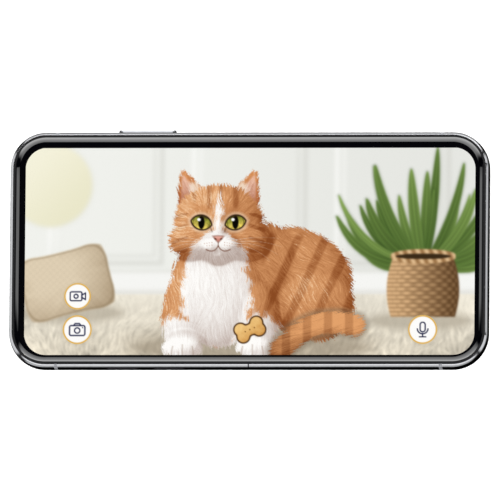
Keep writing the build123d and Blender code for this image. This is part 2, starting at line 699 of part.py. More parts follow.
def sim_tray():
    """Tray: pill-shaped face flush with the rail, and a frame with a ledged pocket open through its floor."""
    face = (SIM_TRAY_WIDTH + 2 * SIM_FACE_LIP, SIM_FACE_HEIGHT)
    tray = rail_prism(SIDE_KEY_RAIL, SIM_X, SIM_Z, *face, SIM_FACE_RECESS, BAND_WALL)
    y_range = (WIDTH / 2 - SIM_TRAY_DEPTH, WIDTH / 2 - BAND_WALL)
    x_range = (SIM_X - SIM_TRAY_WIDTH / 2, SIM_X + SIM_TRAY_WIDTH / 2)
    top, bottom = SIM_Z + SIM_TRAY_THICKNESS / 2, SIM_Z - SIM_TRAY_THICKNESS / 2
    tray += block(x_range, y_range, (bottom, top))
    pocket_x, pocket_y = sim_card_limits(SIM_POCKET_CLEARANCE)
    tray -= block(pocket_x, pocket_y, (top - SIM_CARD_THICKNESS, top), SIM_LEDGE)
    through_x, through_y = shrink(pocket_x, SIM_LEDGE), shrink(pocket_y, SIM_LEDGE)
    tray -= block(through_x, through_y, (bottom, top))
    pin = SIM_X + SIM_TRAY_WIDTH / 2 + SIM_FACE_LIP - EJECT_HOLE_FROM_EDGE
    return tray - rail_prism(SIDE_KEY_RAIL, pin, SIM_Z, EJECT_HOLE, EJECT_HOLE, -CUT_REACH, BAND_WALL)


def sim_reader():
    """Folded steel cage on the main board, open towards the rail, that guides the tray."""
    start = WIDTH / 2 - BAND_WALL - SIM_READER_START
    back = WIDTH / 2 - SIM_TRAY_DEPTH - SIM_SLIDE_CLEARANCE
    half_width = SIM_TRAY_WIDTH / 2 + SIM_SLIDE_CLEARANCE
    half_height = SIM_TRAY_THICKNESS / 2 + SIM_SLIDE_CLEARANCE
    wall = SIM_READER_WALL
    outer_x = (SIM_X - half_width - wall, SIM_X + half_width + wall)
    cage = block(outer_x, (back - wall, start), (SIM_Z - half_height - wall, SIM_Z + half_height + wall))
    return cage - block(shrink(outer_x, wall), (back, start), (SIM_Z - half_height, SIM_Z + half_height))


# Charging port, speakers, motor ---------------------------------------------------------------------------


def charge_port():
    """Drawn steel shell of the port, closed at its back."""
    outer = (PORT_MOUTH_WIDTH + 2 * PORT_SHELL, PORT_MOUTH_HEIGHT + 2 * PORT_SHELL)
    shell = end_prism(0, PORT_Z, *outer, PORT_INSET, PORT_INSET + PORT_DEPTH)
    mouth = (PORT_MOUTH_WIDTH, PORT_MOUTH_HEIGHT)
    return shell - end_prism(0, PORT_Z, *mouth, PORT_INSET, PORT_INSET + PORT_DEPTH - PORT_SHELL)


def charge_port_tongue():
    """Contact tongue in the middle of the port."""
    x_range = (LENGTH / 2 - PORT_INSET - PORT_DEPTH + PORT_SHELL, LENGTH / 2 - TONGUE_INSET)
    y_range = (-TONGUE_WIDTH / 2, TONGUE_WIDTH / 2)
    return block(x_range, y_range, (PORT_Z - TONGUE_THICKNESS / 2, PORT_Z + TONGUE_THICKNESS / 2))


def speaker_mesh():
    """Strip of woven mesh behind the sound holes."""
    middle, length = grille_strip()
    limits = (BAND_WALL, BAND_WALL + MESH_THICKNESS)
    return end_prism(middle, PORT_Z, length, GRILLE_HOLE + 2 * MESH_MARGIN, *limits)


def loudspeaker():
    """Loudspeaker box, shaped to the housing's corner, whose nose ends at the mesh."""
    nose_face = LENGTH / 2 - BAND_WALL - MESH_THICKNESS
    body_x = (nose_face - SPEAKER_NOSE - SPEAKER_LENGTH, nose_face - SPEAKER_NOSE)
    edge = WIDTH / 2 - BAND_WALL - PIECE_GAP
    y_range = (-edge, -DOCK_WIDTH / 2 - SPEAKER_GAP)
    body = block(body_x, y_range, (FLOOR, FLOOR + SPEAKER_HEIGHT), SPEAKER_CORNER)
    body &= plate(BAND_WALL + PIECE_GAP, FLOOR, FLOOR + SPEAKER_HEIGHT)
    middle, length = grille_strip()
    nose = (BAND_WALL + MESH_THICKNESS, BAND_WALL + MESH_THICKNESS + 2 * SPEAKER_NOSE)
    return body + end_prism(middle, PORT_Z, length, SPEAKER_NOSE_HEIGHT, *nose)


def earpiece_speaker():
    """Earpiece at the far end, against the end band's inner wall."""
    start = BAND_WALL - LENGTH / 2
    x_range, y_range = (start, start + EARPIECE_WIDTH), (-EARPIECE_LENGTH / 2, EARPIECE_LENGTH / 2)
    return block(x_range, y_range, (FLOOR, FLOOR + EARPIECE_HEIGHT), EARPIECE_CORNER)


def motor_limits():
    """Limits of the vibration motor's case, beside the battery and across from the loudspeaker."""
    x_start = DOCK_START + PIECE_GAP
    y_range = (DOCK_WIDTH / 2 + SPEAKER_GAP, WIDTH / 2 - BAND_WALL - PIECE_GAP)
    return (x_start, x_start + MOTOR_LENGTH), y_range, (FLOOR, FLOOR + MOTOR_HEIGHT)


def haptic_motor_case():
    """Closed steel case of the vibration motor."""
    limits = motor_limits()
    return block(*limits) - block(*(shrink(pair, MOTOR_WALL) for pair in limits))


def haptic_mass():
    """Tungsten mass that swings along Y in the case."""
    x_range, y_range, z_range = motor_limits()
    side = MOTOR_WALL + MOTOR_CLEARANCE
    end = MOTOR_WALL + MOTOR_TRAVEL + MOTOR_END_ROOM
    return block(shrink(x_range, side), shrink(y_range, end), shrink(z_range, side))


# Rear camera ----------------------------------------------------------------------------------------------


def plateau_prism(grow, low, high):
    """Pill across the phone at the camera, grown by a clearance, between two heights."""
    length = CAMERA_PITCH + 2 * (PLATEAU_END + grow)
    upright = Rot(0, 0, 90) * pill(length, PLATEAU_WIDTH + 2 * grow)
    return Pos(CAMERA_X, 0, low) * extrude(upright, amount=high - low)


def camera_plateau():
    """Raised metal pill with two lens seats and the flash hole, seated on the chassis plate."""
    raised = plateau_prism(0, -PLATEAU_RISE, CHASSIS_BACK)
    raised = fillet(raised.faces().sort_by(Axis.Z)[0].edges(), PLATEAU_ROUND)
    for place in LENS_PLACES:
        raised -= post(place, LENS_DIAMETER + 2 * LENS_CLEARANCE, -THICKNESS, LENS_BACK)
        raised -= post(place, BARREL_DIAMETER + 2 * BARREL_CLEARANCE, LENS_BACK, CHASSIS_BACK)
    return raised - post((CAMERA_X, 0), FLASH_DIAMETER + 2 * LENS_CLEARANCE, -THICKNESS, CHASSIS_BACK)


def camera_lenses():
    """Two cover lenses, just below the plateau's face."""
    face = LENS_BACK - LENS_THICKNESS
    return group(post(place, LENS_DIAMETER, face, LENS_BACK) for place in LENS_PLACES)


def flash_lens():
    """Moulded light pipe of the flash, from the plateau's face to the chassis plate."""
    return post((CAMERA_X, 0), FLASH_DIAMETER, LENS_RECESS - PLATEAU_RISE, CHASSIS_BACK)


def rear_camera_housing():
    """Camera module on the chassis plate, with a blind bore for each barrel."""
    x_range = (CAMERA_X - HOUSING_WIDTH / 2, CAMERA_X + HOUSING_WIDTH / 2)
    y_range = (-CAMERA_PITCH / 2 - HOUSING_END, CAMERA_PITCH / 2 + HOUSING_END)
    housing = block(x_range, y_range, (FLOOR, DISPLAY_BACK - HOUSING_HEADROOM), HOUSING_CORNER)
    for place in LENS_PLACES:
        bore_top = BARREL_START + BARREL_LENGTH + BORE_END_ROOM
        housing -= post(place, BARREL_DIAMETER + 2 * BARREL_CLEARANCE, FLOOR, bore_top)
    return housing


def camera_barrel(place):
    """A lens barrel with its aperture, which travels along Z to focus."""
    barrel = post(place, BARREL_DIAMETER, BARREL_START, BARREL_START + BARREL_LENGTH)
    return barrel - post(place, BARREL_APERTURE, BARREL_START, BARREL_START + BARREL_APERTURE_DEPTH)


# Assembly -------------------------------------------------------------------------------------------------


def build():
    """Every node of the phone by name."""
    band, ring = around(band_edges()), around(ring_edges())
    volume_switches = [key_switch(VOLUME_RAIL, x) for x in VOLUME_KEY_X.values()]
    coil_top = REAR_THICKNESS + COIL_THICKNESS
    ferrite = COIL_OUTER + 2 * FERRITE_MARGIN
    nodes = {
        "upper_rail": upper_rail(band),
        "lower_rail": lower_rail(band),
        "left_end_band": stretch(band, -LENGTH, -BREAK_X - BREAK_WIDTH / 2),
        "right_end_band": right_end_band(band),
        "antenna_breaks": antenna_breaks(band, ring),
        "bezel_ring": bezel_ring(ring),
        "port_screws": port_screws(),
        "cover_glass": curved_glass(COVER_EDGE, COVER_CURVE, THICKNESS, COVER_EDGE_DROP, COVER_BACK),
        "display_gasket": display_gasket(),
        "display_panel": plate(PANEL_INSET, PANEL_BACK, COVER_BACK),
        "display_plate": plate(PANEL_INSET + DISPLAY_PLATE_SETBACK, DISPLAY_BACK, PANEL_BACK),
        "display_flex": display_flex(),
        "rear_glass": rear_glass(),
        "rear_gasket": rear_gasket(),
        "chassis_plate": chassis_plate(),
        "chassis_screws": chassis_screws(),
        "logic_board": logic_board(),
        "board_chips": board_chips(),
        "board_shields": board_shields(),
        "battery": battery(),
        "battery_tape": battery_tape(),
        "battery_flex": battery_flex(),
        "charging_coil": coil_ring(COIL_OUTER, COIL_INNER, REAR_THICKNESS, COIL_THICKNESS),
        "coil_ferrite": coil_ring(ferrite, 0, coil_top, FERRITE_THICKNESS),
        "dock_board": dock_board(),
        "charge_port": charge_port(),
        "charge_port_tongue": charge_port_tongue(),
        "loudspeaker": loudspeaker(),
        "speaker_mesh": speaker_mesh(),
        "earpiece_speaker": earpiece_speaker(),
        "haptic_motor_case": haptic_motor_case(),
        "haptic_mass": haptic_mass(),
        "camera_plateau": camera_plateau(),
        "camera_lenses": camera_lenses(),
        "flash_lens": flash_lens(),
        "rear_camera_housing": rear_camera_housing(),
        "main_camera_barrel": camera_barrel(LENS_PLACES[0]),
        "zoom_camera_barrel": camera_barrel(LENS_PLACES[1]),
        "side_key": key(SIDE_KEY_RAIL, SIDE_KEY_X, SIDE_KEY_LENGTH, SIDE_KEY_PROUD, KEY_CROWN),
        "side_key_switch": key_switch(SIDE_KEY_RAIL, SIDE_KEY_X),
        "volume_key_switches": group(volume_switches),
        "sim_tray": sim_tray(),
        "sim_card": sim_card(),
        "sim_reader": sim_reader(),
    }
    for name, x in VOLUME_KEY_X.items():
        nodes[name] = key(VOLUME_RAIL, x, VOLUME_KEY_LENGTH, VOLUME_KEY_PROUD, VOLUME_KEY_CROWN)
    return nodes


os.makedirs("parts", exist_ok=True)
for node_name, node_shape in build().items():
    export_step(node_shape, f"parts/{node_name}.step")
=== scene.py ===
"""Looks of a smartphone on its back with its display lit: finishes, fine skins, display and studio."""

import logging
import math
from dataclasses import dataclass
from enum import Enum

import bpy
import numpy as np
from mathutils import Matrix, Vector


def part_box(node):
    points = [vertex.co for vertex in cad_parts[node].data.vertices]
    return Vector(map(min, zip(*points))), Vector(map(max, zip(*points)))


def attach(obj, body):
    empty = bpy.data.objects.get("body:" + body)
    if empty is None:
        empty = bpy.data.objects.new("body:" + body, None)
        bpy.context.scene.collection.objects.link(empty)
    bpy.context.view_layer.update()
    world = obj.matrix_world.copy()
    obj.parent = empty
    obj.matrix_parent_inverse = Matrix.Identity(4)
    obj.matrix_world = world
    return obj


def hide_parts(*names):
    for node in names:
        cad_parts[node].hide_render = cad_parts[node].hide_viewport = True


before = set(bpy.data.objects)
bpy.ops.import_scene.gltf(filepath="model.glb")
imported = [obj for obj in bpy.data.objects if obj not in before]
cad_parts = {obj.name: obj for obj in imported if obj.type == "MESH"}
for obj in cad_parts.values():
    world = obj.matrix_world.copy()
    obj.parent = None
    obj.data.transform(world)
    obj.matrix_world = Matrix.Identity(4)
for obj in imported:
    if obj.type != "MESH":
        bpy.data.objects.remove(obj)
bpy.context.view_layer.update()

log = logging.getLogger("smartphone")

MM = 0.001
PHONE = "phone"
Point = tuple[float, float]


# Small tools ----------------------------------------------------------------------------------------------


def rgb(colour: np.ndarray | str) -> np.ndarray:
    """Read sRGB channels from 0 to 1 out of a hex colour; channels are given back as they are.

    Args:
        colour: A colour such as "#8c8c8e", or an array of channels.

    Returns:
        The channels.
    """
    if not isinstance(colour, str):
        return colour
    return np.array([int(colour[start : start + 2], 16) / 255 for start in (1, 3, 5)])


def linearised(channels: np.ndarray) -> np.ndarray:
    """Turn sRGB channels from 0 to 1 into linear ones, by the sRGB transfer curve."""
    return np.where(channels <= 0.04045, channels / 12.92, ((channels + 0.055) / 1.055) ** 2.4)


def linear(hex_colour: str) -> tuple[float, float, float, float]:
    """Turn an sRGB hex colour into the linear red, green, blue and alpha of 1 that shaders take."""
    return (*linearised(rgb(hex_colour)).tolist(), 1.0)


def add(
    tree: bpy.types.NodeTree, kind: str, inputs: dict | None = None, **settings: object
) -> bpy.types.Node:
    """Add a node to a tree, with its settings, its constant inputs and its links.

    Args:
        tree: The node tree to add to.
        kind: The node's type, without its "ShaderNode" prefix.
        inputs: Input name or index to a constant, or to the output socket that feeds it.
        settings: Properties of the node.

    Returns:
        The new node.
    """
    node = tree.nodes.new(f"ShaderNode{kind}")
    for name, value in settings.items():
        setattr(node, name, value)
    for name, value in (inputs or {}).items():
        if isinstance(value, bpy.types.NodeSocket):
            tree.links.new(value, node.inputs[name])
        else:
            node.inputs[name].default_value = value
    return node


def new_material(name: str) -> tuple[bpy.types.Material, bpy.types.NodeTree]:
    """Make a material with nothing in it yet.

    Args:
        name: The material's name.

    Returns:
        The material and its empty node tree.
    """
    material = bpy.data.materials.new(name)
    material.use_nodes = True
    material.node_tree.nodes.clear()
    return material, material.node_tree


def new_object(name: str, points: np.ndarray, faces: list, sharp_angle: float = 30.0) -> bpy.types.Object:
    """Make a mesh object from points in millimetres.

    Args:
        name: The object's name.
        points: Vertex positions, one row each, in millimetres.
        faces: Vertex indices of each face, outward by the right-hand rule.
        sharp_angle: Edges that turn by more degrees than this stay sharp.

    Returns:
        The new object, at the origin, linked to the scene.
    """
    mesh = bpy.data.meshes.new(name)
    mesh.from_pydata((points * MM).tolist(), [], faces)
    mesh.shade_smooth()
    mesh.set_sharp_from_angle(angle=math.radians(sharp_angle))
    mesh.update()
    piece = bpy.data.objects.new(name, mesh)
    bpy.context.scene.collection.objects.link(piece)
    return piece


def grid_faces(rows: int, columns: int, close_rows: bool, close_columns: bool) -> np.ndarray:
    """Quads between neighbouring points of a grid, wrapped round where a direction is closed.

    Args:
        rows: Number of rows of points.
        columns: Number of points in a row.
        close_rows: Join the last row to the first.
        close_columns: Join the last point of each row to its first.

    Returns:
        An array of four indices a face; the faces point along row direction cross column direction.
    """
    row = np.arange(rows if close_rows else rows - 1)[:, None]
    column = np.arange(columns if close_columns else columns - 1)[None, :]
    next_row, next_column = (row + 1) % rows, (column + 1) % columns
    corners = (row * columns + column, next_row * columns + column)
    corners += (next_row * columns + next_column, row * columns + next_column)
    return np.stack([np.broadcast_to(c, (row.size, column.size)) for c in corners], -1).reshape(-1, 4)


def capped_faces(rows: int, columns: int) -> list[list[int]]:
    """Faces of a grid whose last row joins its first, with one face over each of its two open edges.

    Args:
        rows: Number of rows of points.
        columns: Number of points in a row.

    Returns:
        Vertex indices of the quads, then of the cap on the first column and of the one on the last.
    """
    faces = grid_faces(rows, columns, True, False)[:, ::-1].tolist()
    faces.append([row * columns for row in range(rows)])
    faces.append([row * columns + columns - 1 for row in reversed(range(rows))])
    return faces


def dress(piece: bpy.types.Object, material: bpy.types.Material) -> None:
    """Give a piece one material in place of those it has."""
    piece.data.materials.clear()
    piece.data.materials.append(material)


# Finishes -------------------------------------------------------------------------------------------------


class Grain(Enum):
    """What a surface's fine pattern is."""

    NONE = "plain"
    HAZE = "cloudy polish"
    BRUSHED = "lines along X"
    TURNED = "rings round an axis"
    MOULDED = "fine moulded texture"
    WOVEN = "crossed wires"
    TRACES = "printed tracks"
    CREASED = "soft folds"


@dataclass(frozen=True)
class Finish:
    """A finish: base colour, second colour for its pattern, and how its grain shows.

    Args:
        name: The real material and how its surface was made.
        colour: Main sRGB hex colour.
        second: Colour that the pattern mixes in.
        metallic: 1 for bare metal, else 0.
        roughness: Roughness where the pattern is low.
        rougher: Roughness where the pattern is high.
        grain: Kind of pattern.
        grain_mm: Size of one pattern element in millimetres.
        relief_mm: Height of the pattern's bump in millimetres.
        ior: Index of refraction; a metal keeps the default.
        grazing: Grey level of a metal's tint at grazing angles.
        coat: Weight of a clear coat.
        specular: Strength of a non-metal's own reflection; 0.5 is what the index gives.
        centre: Centre of a turned pattern, in millimetres.
    """

    name: str
    colour: str
    second: str
    metallic: float = 0.0
    roughness: float = 0.4
    rougher: float = 0.5
    grain: Grain = Grain.MOULDED
    grain_mm: float = 0.3
    relief_mm: float = 0.004
    ior: float = 1.5
    grazing: float = 1.0
    coat: float = 0.0
    specular: float = 0.5
    centre: Point = (0.0, 0.0)

    def pattern(self, tree: bpy.types.NodeTree) -> bpy.types.NodeSocket:
        """Build the grain as a value from 0 to 1.

        Args:
            tree: The material's node tree.

        Returns:
            The socket that carries the pattern.
        """
        place = add(tree, "TexCoord").outputs["Object"]
        scale = 1 / (self.grain_mm * MM)
        if self.grain is Grain.BRUSHED:
            # Scratches much longer than they are wide: the noise is squeezed along X.
            long_way = add(tree, "Mapping", {"Vector": place, "Scale": (0.02, 1.0, 1.0)})
            scratches = {"Vector": long_way.outputs[0], "Scale": scale, "Detail": 4.0}
            return add(tree, "TexNoise", scratches).outputs[0]
        if self.grain is Grain.TURNED:
            x, y = (value * MM for value in self.centre)
            about = add(tree, "Mapping", {"Vector": place, "Location": (-x, -y, 0.0)})
            rings = {"Vector": about.outputs[0], "Scale": scale / math.tau * 2}
            return add(tree, "TexWave", rings, wave_type="RINGS", rings_direction="Z").outputs[1]
        if self.grain is Grain.WOVEN:
            wires = {"Vector": place, "Scale": scale / math.tau * 2}
            over = add(tree, "TexWave", wires, wave_type="BANDS", bands_direction="Y").outputs[1]
            under = add(tree, "TexWave", wires, wave_type="BANDS", bands_direction="Z").outputs[1]
            return add(tree, "Math", {0: over, 1: under}, operation="MULTIPLY").outputs[0]
        if self.grain is Grain.TRACES:
            bricks = {"Vector": place, "Scale": scale, "Mortar Size": 0.06, "Bias": 0.0}
            bricks |= {"Color1": (0, 0, 0, 1), "Color2": (0.3, 0.3, 0.3, 1), "Mortar": (1, 1, 1, 1)}
            return add(tree, "TexBrick", bricks).outputs[0]
        if self.grain is Grain.CREASED:
            return add(tree, "TexVoronoi", {"Vector": place, "Scale": scale}, feature="SMOOTH_F1").outputs[0]
        return add(tree, "TexNoise", {"Vector": place, "Scale": scale, "Detail": 5.0}).outputs[0]

    def material(self) -> bpy.types.Material:
        """Build the finish as a material, or return it if it is there already.

        Returns:
            The material.
        """
        known = bpy.data.materials.get(self.name)
        if known:
            return known
        material, tree = new_material(self.name)
        surface = {"Metallic": self.metallic, "IOR": self.ior, "Coat Weight": self.coat}
        surface["Specular IOR Level"] = self.specular
        if self.metallic:
            surface["Specular Tint"] = (self.grazing, self.grazing, self.grazing, 1.0)
        if self.grain is Grain.NONE:
            surface |= {"Base Color": linear(self.colour), "Roughness": self.roughness}
        else:
            pattern = self.pattern(tree)
            mix = add(tree, "Mix", {0: pattern}, data_type="RGBA")
            mix.inputs[6].default_value = linear(self.colour)
            mix.inputs[7].default_value = linear(self.second)
            rough = add(tree, "MapRange", {0: pattern, 3: self.roughness, 4: self.rougher})
            bump = add(tree, "Bump", {"Height": pattern, "Distance": self.relief_mm * MM, "Strength": 1.0})
            surface |= {"Base Color": mix.outputs[2], "Roughness": rough.outputs[0]}
            surface["Normal"] = bump.outputs[0]
        shader = add(tree, "BsdfPrincipled", surface)
        add(tree, "OutputMaterial", {"Surface": shader.outputs[0]})
        return material


# Satin-polished stainless steel under a black PVD coat: near-black metal that stays dark at grazing angles.
BLACK_STEEL = Finish(
    "pvd_coated_stainless_steel", "#2b2b2e", "#343437", 1.0, 0.16, 0.24, Grain.BRUSHED, 0.05, 0.0004,
    grazing=0.12,
)
# Mirror-polished stainless steel: bright and cool, with the faint cloudiness of a buffing wheel.
BRIGHT_STEEL = Finish(
    "mirror_polished_stainless_steel", "#d4d5d8", "#c6c7ca", 1.0, 0.06, 0.1, Grain.HAZE, 1.5, 0.0
)
# Lapped steel under a graphite PVD coat: a clean dark mirror with one white line where it rounds over.
LAPPED_STEEL = Finish(
    "lapped_graphite_pvd_steel", "#818285", "#78797c", 1.0, 0.02, 0.04, Grain.HAZE, 1.5, 0.0
)
# Fibre-filled polymer cast into the frame and polished flush: mid-grey, slightly waxy.
BREAK_POLYMER = Finish(
    "polished_filled_polymer", "#6a6b6e", "#626366", roughness=0.34, rougher=0.42, grain_mm=0.2,
    specular=0.25,
)
# Moulded silicone seal: matt and nearly black.
SEAL_RUBBER = Finish(
    "moulded_silicone_rubber", "#060607", "#09090a", roughness=0.55, rougher=0.7, grain_mm=0.15,
    specular=0.08,
)
# Black ink behind toughened glass: a deep gloss with a trace of handling haze.
BACK_GLASS = Finish(
    "black_backed_toughened_glass", "#08090b", "#0b0c0f", roughness=0.03, rougher=0.09, grain=Grain.HAZE,
    grain_mm=9.0, relief_mm=0.0, ior=1.52,
)
# Toughened glass over black ceramic ink: nothing but the sharp reflection of the polished face.
INKED_GLASS = Finish(
    "ink_backed_toughened_glass", "#010102", "#020203", roughness=0.0, grain=Grain.NONE, ior=1.51
)
# Thin stainless sheet as it leaves the press: light grey with soft streaks.
STAMPED_STEEL = Finish(
    "stamped_stainless_steel", "#b4b5b8", "#9fa0a3", 1.0, 0.25, 0.36, Grain.BRUSHED, 0.08, 0.001
)
# Milled aluminium: pale, with the cutter's fine parallel marks.
CHASSIS_ALUMINIUM = Finish(
    "milled_aluminium", "#c3c4c6", "#b1b2b4", 1.0, 0.3, 0.4, Grain.BRUSHED, 0.1, 0.002
)
# Turned steel: a darker grey with small bright glints.
SCREW_STEEL = Finish("turned_steel_screws", "#85868a", "#6d6e71", 1.0, 0.25, 0.35, Grain.HAZE, 0.3, 0.001)
# Blue solder mask over copper: glossy dark blue with paler tracks.
BOARD_EPOXY = Finish(
    "solder_masked_glass_epoxy", "#0c2234", "#1d4055", roughness=0.35, rougher=0.3, grain=Grain.TRACES,
    grain_mm=0.9,
)
# Moulded epoxy: matt charcoal with a fine even grain.
CHIP_RESIN = Finish("moulded_chip_resin", "#151515", "#1f1f1f", roughness=0.5, rougher=0.6, grain_mm=0.08)
# Printed laminate foil: satin black in broad soft creases.
POUCH_FOIL = Finish(
    "laminated_battery_foil", "#17181a", "#222326", roughness=0.35, rougher=0.45, grain=Grain.CREASED,
    grain_mm=6.0, relief_mm=0.05,
)
# Stretch-release film: milky white and slightly glossy.
TAPE_FILM = Finish("stretched_tape_film", "#e6e6e1", "#dadad5", roughness=0.4, rougher=0.5, grain_mm=0.4)
# Polyimide over copper: glossy amber-brown with lighter tracks.
FLEX_FILM = Finish(
    "polyimide_flex_circuit", "#5a3413", "#8a5a26", roughness=0.3, rougher=0.25, grain=Grain.TRACES,
    grain_mm=0.5,
)
# Enamelled wire wound flat: warm rings, each with its own highlight.
COIL_COPPER = Finish(
    "wound_enamelled_copper", "#b8683c", "#7a3d20", 1.0, 0.22, 0.4, Grain.TURNED, 0.5, 0.05,
    centre=(12.25, 0.0),
)
# Pressed ferrite: dull charcoal, like slate.
FERRITE_SHEET = Finish(
    "pressed_ferrite_sheet", "#1c1b1c", "#262527", roughness=0.6, rougher=0.7, grain_mm=0.5
)
# Drawn stainless shell: mid-grey metal, darker inside the mouth.
PORT_STEEL = Finish(
    "drawn_stainless_steel", "#9a9b9e", "#88898c", 1.0, 0.22, 0.32, Grain.BRUSHED, 0.06, 0.001
)
# Moulded engineering plastics: black, satin, with no visible grain at this size.
TONGUE_PLASTIC = Finish("moulded_liquid_crystal_polymer", "#101011", "#1a1a1b", roughness=0.4, rougher=0.5)
SPEAKER_PLASTIC = Finish("moulded_black_polycarbonate", "#121213", "#18181a", roughness=0.45, rougher=0.55)
# Woven wire: grey crossings fading into near-black painted shade that stands in for the holes between the
# wires.
SOUND_MESH = Finish("woven_steel_mesh", "#050506", "#6f7074", 1.0, 0.35, 0.5, Grain.WOVEN, 0.18, 0.04)
# Sintered tungsten: dense dull grey, lightly clouded.
TUNGSTEN = Finish("sintered_tungsten", "#6c6d70", "#5b5c5f", 1.0, 0.4, 0.5, Grain.HAZE, 0.4, 0.002)
# Light-absorbing black: almost no highlight.
MODULE_PLASTIC = Finish(
    "blackened_camera_housing", "#0e0e10", "#161618", roughness=0.5, rougher=0.6, grain_mm=0.1
)
# Coated sapphire: deep blue-black with a hard bright reflection.
LENS_SAPPHIRE = Finish(
    "coated_sapphire", "#0a0b12", "#10122a", roughness=0.02, rougher=0.05, grain=Grain.HAZE, grain_mm=4.0,
    relief_mm=0.0, ior=1.77, coat=0.4,
)
# Moulded diffuser: warm white with fine rings.
FLASH_RESIN = Finish(
    "moulded_fresnel_diffuser", "#f2ecd6", "#d9cfae", roughness=0.25, rougher=0.35, grain=Grain.TURNED,
    grain_mm=0.35, relief_mm=0.03, centre=(-54.0, 0.0),
)
# Moulded nylon: dark grey and satin.
SWITCH_PLASTIC = Finish("moulded_switch_plastic", "#2a2a2c", "#343436", roughness=0.45, rougher=0.55)
# Laminated card: off-white with a soft sheen.
SIM_LAMINATE = Finish(
    "printed_card_laminate", "#e9e9e6", "#dfdfdb", roughness=0.35, rougher=0.45, grain_mm=0.6
)

NODE_FINISHES = {
    "upper_rail": BLACK_STEEL, "lower_rail": BLACK_STEEL, "left_end_band": BLACK_STEEL,
    "right_end_band": BLACK_STEEL, "volume_up_key": BLACK_STEEL, "volume_down_key": BLACK_STEEL,
    "sim_tray": BLACK_STEEL, "camera_plateau": BLACK_STEEL, "side_key": LAPPED_STEEL,
    "bezel_ring": BRIGHT_STEEL, "antenna_breaks": BREAK_POLYMER, "port_screws": SCREW_STEEL,
    "display_gasket": SEAL_RUBBER, "rear_gasket": SEAL_RUBBER, "display_panel": CHIP_RESIN,
    "display_plate": STAMPED_STEEL, "display_flex": FLEX_FILM, "rear_glass": BACK_GLASS,
    "chassis_plate": CHASSIS_ALUMINIUM, "chassis_screws": SCREW_STEEL, "logic_board": BOARD_EPOXY,
    "board_chips": CHIP_RESIN, "board_shields": STAMPED_STEEL, "battery": POUCH_FOIL,
    "battery_tape": TAPE_FILM, "battery_flex": FLEX_FILM, "charging_coil": COIL_COPPER,
    "coil_ferrite": FERRITE_SHEET, "dock_board": BOARD_EPOXY, "charge_port": PORT_STEEL,
    "charge_port_tongue": TONGUE_PLASTIC, "loudspeaker": SPEAKER_PLASTIC, "speaker_mesh": SOUND_MESH,
    "earpiece_speaker": SPEAKER_PLASTIC, "haptic_motor_case": STAMPED_STEEL, "haptic_mass": TUNGSTEN,
    "camera_lenses": LENS_SAPPHIRE, "flash_lens": FLASH_RESIN, "rear_camera_housing": MODULE_PLASTIC,
    "main_camera_barrel": MODULE_PLASTIC, "zoom_camera_barrel": MODULE_PLASTIC,
    "side_key_switch": SWITCH_PLASTIC, "volume_key_switches": SWITCH_PLASTIC, "sim_card": SIM_LAMINATE,
    "sim_reader": STAMPED_STEEL,
}


def clear_glass() -> bpy.types.Material:
    """Toughened aluminosilicate glass with an anti-reflective coating: clear, with a faint sharp reflection.

    The coating is drawn as a low index, which reflects about two percent at a slant of 65 degrees in place
    of bare glass's twelve, so lamps beside the phone don't bleach the picture.

    Returns:
        The material.
    """
    material, tree = new_material("toughened_aluminosilicate_glass")
    place = add(tree, "TexCoord").outputs["Object"]
    smear = add(tree, "TexNoise", {"Vector": place, "Scale": 60.0, "Detail": 3.0})
    haze = add(tree, "MapRange", {0: smear.outputs[0], 1: 0.45, 2: 0.75, 3: 0.0, 4: 0.015})
    surface = {"Transmission Weight": 1.0, "IOR": 1.1, "Roughness": haze.outputs[0]}
    surface["Base Color"] = (1.0, 1.0, 1.0, 1.0)
    shader = add(tree, "BsdfPrincipled", surface)
    add(tree, "OutputMaterial", {"Surface": shader.outputs[0]})
    return material


def lit_pixels(layer: str) -> bpy.types.Material:
    """Emissive display pixels, lit as a picture that the mesh carries point by point.

    Args:
        layer: Name of the mesh's colour attribute.

    Returns:
        The material.
    """
    known = bpy.data.materials.get("emissive_display_pixels")
    if known:
        return known
    material, tree = new_material("emissive_display_pixels")
    picture = add(tree, "Attribute", attribute_name=layer)
    # The coated glass lets almost all of it through, so white comes out at nearly full level.
    glow = add(tree, "Emission", {"Color": picture.outputs["Color"], "Strength": 1.0})
    add(tree, "OutputMaterial", {"Surface": glow.outputs[0]})
    return material


# Housing --------------------------------------------------------------------------------------------------


@dataclass(frozen=True)
class LitArea:
    """The part of the display that lights up, in millimetres."""

    centre_x: float = 0.335
    centre_y: float = -0.635
    width: float = 135.02
    height: float = 62.635
    corner: float = 6.55

    def outline(self, path: np.ndarray, height: float) -> np.ndarray:
        """Rounded outline, with one point for each point of the housing's outline.

        Args:
            path: Rows of corner centre x, centre y and angle.
            height: Height of the outline.

        Returns:
            Points, one row each.
        """
        centres = np.sign(path[:, :2]) * [self.width / 2 - self.corner, self.height / 2 - self.corner]
        turn = self.corner * np.column_stack([np.cos(path[:, 2]), np.sin(path[:, 2])])
        flat = centres + turn + [self.centre_x, self.centre_y]
        return np.column_stack([flat, np.full(len(flat), height)])


